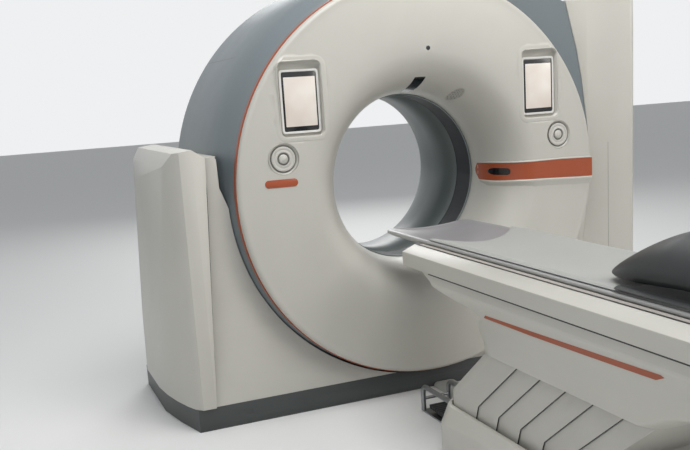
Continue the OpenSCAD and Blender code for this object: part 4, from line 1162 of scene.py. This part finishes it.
def slab(x0, x1, z0, z1, y0, y1):
    """A thin upright plate with rounded corners, from y0 to y1."""
    wide, high = x1 - x0, z1 - z0
    levels = ((y0, wide, high), (y1 - 0.4 * (y1 - y0), wide, high), (y1, wide - 3, high - 3))
    return plates((x0 + x1) / 2, (z0 + z1) / 2, levels, 12.0, 48, angle=40)


def fixing_cap(x, y, z, across, lifts):
    """A round cap with a soft edge, 4 mm narrower on top than at its foot."""
    widths = (across, across, across - 4)
    return plates(x, z, [(y + lift, wide, wide) for lift, wide in zip(lifts, widths)], 2.0, 32)


louvres, vent_backs = [], []
for x0, x1, z0, z1 in VENTS:
    vent_backs.append(slab(x0, x1, z0, z1, BACK_Y + 0.1, BACK_Y + 1.0))
    for z in np.arange(z0 + 14, z1 - 8, 16.0):
        path = [(x, BACK_Y + 1.5, z) for x in np.linspace(x0 + 10, x1 - 10, 8)]
        louvres.append(skin(swept(path, LOUVRE)))
caps = [fixing_cap(x, BACK_Y, z, 22, (0.1, 1.2, 2.0)) for x, z in CAP_PLACES]
print(len(louvres), "louvres")

# %% Seams of the rear cover
SEAM = ((-1.4, -0.6), (-1.4, 0.3), (1.4, 0.3), (1.4, -0.6))
seams = []
t = np.radians(np.linspace(0, 360, 181)[:-1])
way = np.column_stack([np.cos(t), np.zeros(180), np.sin(t)])
for radius, cap_radius in ((925.0, 893.0), (560.0, 578.0)):
    spine = radius * way + (0, 0, BORE_Z)
    spine[:, 1] = [back_y(x, z) + 0.2 for x, _, z in spine]
    seams.append(skin([spine + across * way + (0, deep, 0) for across, deep in SEAM], loop=True))
    for x, _, z in cap_radius * way[::15] + (0, 0, BORE_Z):
        caps.append(fixing_cap(x, back_y(x, z), z, 20, (-0.8, 0.9, 1.6)))
finished("rear_vents", merged(louvres), "grille_grey")
finished("rear_vent_backs", merged(vent_backs), "black_plastic_and_shade", "machine", "dark_plastic")
finished("rear_fixing_caps", merged(caps), "bezel_white", "machine", "white_cover")
finished("rear_seams", merged(seams), "groove_grey", "machine", "dark_plastic")
print(len(caps), "caps")

# %% Seams of the band
band_face = surface_of("band_shell")
band_seams = []
for t in np.radians((8.0, 38.0, 66.0, 114.0, 142.0, 172.0)):
    out = np.array([math.cos(t), 0, math.sin(t)])
    hits = [met(band_face, 1200 * out + (0, y, BORE_Z), -out) for y in np.linspace(-20, 500, 40)]
    path = [hit for hit in hits if hit is not None]
    band_seams.append(skin(swept(path, [(-1.0, -0.8), (1.0, -0.8), (1.0, 0.35), (-1.0, 0.35)], up=out)))
finished("band_seams", merged(band_seams), "groove_grey", "machine", "blue_grey_cover")
print(len(band_seams), "seams across the band")

# %% Painted shade beside the towers
STEP_Y, GAP_SHADE_HALF = -312.0, 1.6
tower_gap_shades = []
# Black strips along the towers' inner edges paint the shade in the gap between each tower and the drum.
for node, x_far, x_near in (("left_side_cover", -1150.0, -950.0), ("right_tower", 1100.0, 820.0)):
    face, path = surface_of(node), []
    for z in np.linspace(112, 1100, 40):
        for x in np.linspace(x_near, x_far, 300):
            hit = met(face, (x, -1000, z), (0, 1, 0))
            if hit is not None and hit[1] < STEP_Y - 2:
                path.append((x + math.copysign(GAP_SHADE_HALF, x_near - x_far), STEP_Y - 0.3, z))
                break
    strip = [(-GAP_SHADE_HALF, -0.8), (GAP_SHADE_HALF, -0.8), (GAP_SHADE_HALF, 0.8), (-GAP_SHADE_HALF, 0.8)]
    tower_gap_shades.append(skin(swept(path, strip, up=(0, 1, 0))))
finished("tower_gap_shades", merged(tower_gap_shades), "black_plastic_and_shade", "machine", "dark_plastic")
finished("rear_infill", slab(-1030, -925, 106, 1090, 522, 528), "white_cover")

# %% [markdown]
# ## Floor and light
# A plain pale floor takes the shadow. Four large soft lamps stand where a studio would put them, and
# the world fills the rest. The camera and mirrors see the world pale, while it lights the object less.

# %% Floor
FLOOR_HALF = 30.0
floor_mesh = bpy.data.meshes.new("floor")
corners = FLOOR_HALF * np.array([[-1, -1, 0], [1, -1, 0], [1, 1, 0], [-1, 1, 0]])
floor_mesh.from_pydata(corners.tolist(), [], [(0, 1, 2, 3)])
floor = bpy.data.objects.new("floor", floor_mesh)
bpy.context.scene.collection.objects.link(floor)
floor_mesh.materials.append(Finish("studio_floor").set(colour=(0.78, 0.78, 0.77), roughness=0.6))
print("floor", 2 * FLOOR_HALF, "m wide")

# %% World
world = bpy.data.worlds.new("studio")
bpy.context.scene.world = world
world.use_nodes = True
sky = world.node_tree
sky.nodes.clear()


def background(colour, strength):
    """A background shader of the world with one colour."""
    shader = sky.nodes.new("ShaderNodeBackground")
    shader.inputs["Color"].default_value = (*colour, 1)
    shader.inputs["Strength"].default_value = strength
    return shader


paths = sky.nodes.new("ShaderNodeLightPath")
either = sky.nodes.new("ShaderNodeMath")
either.operation = "MAXIMUM"
choose = sky.nodes.new("ShaderNodeMixShader")
sky_out = sky.nodes.new("ShaderNodeOutputWorld")
sky.links.new(paths.outputs["Is Camera Ray"], either.inputs[0])
sky.links.new(paths.outputs["Is Glossy Ray"], either.inputs[1])
sky.links.new(either.outputs[0], choose.inputs[0])
sky.links.new(background((0.82, 0.86, 0.9), 0.31).outputs[0], choose.inputs[1])
sky.links.new(background((0.86, 0.87, 0.88), 1.0).outputs[0], choose.inputs[2])
sky.links.new(choose.outputs[0], sky_out.inputs[0])
print("world:", len(sky.nodes), "nodes")

# %% Lamps
MIDDLE = (0.0, -1.0, 0.8)


def soft_lamp(name, place, size, watts, colour=(1, 1, 1)):
    """A square soft box at place that points at the machine's middle."""
    light = bpy.data.lights.new(name, "AREA")
    light.size = size
    light.energy = watts
    light.color = colour
    lamp = bpy.data.objects.new(name, light)
    away = Vector(place) - Vector(MIDDLE)
    lamp.matrix_world = Matrix.Translation(Vector(place)) @ away.to_track_quat("Z", "Y").to_matrix().to_4x4()
    bpy.context.scene.collection.objects.link(lamp)


soft_lamp("key", (3.5, -5.5, 4.5), 3.0, 110, (1.0, 0.96, 0.90))
soft_lamp("side", (-5.0, -3.0, 3.2), 3.0, 26)
soft_lamp("top", (-0.3, -2.2, 5.6), 3.6, 215)
soft_lamp("back", (2.0, 5.5, 4.0), 3.0, 130)
print(len(bpy.data.lights), "lamps")
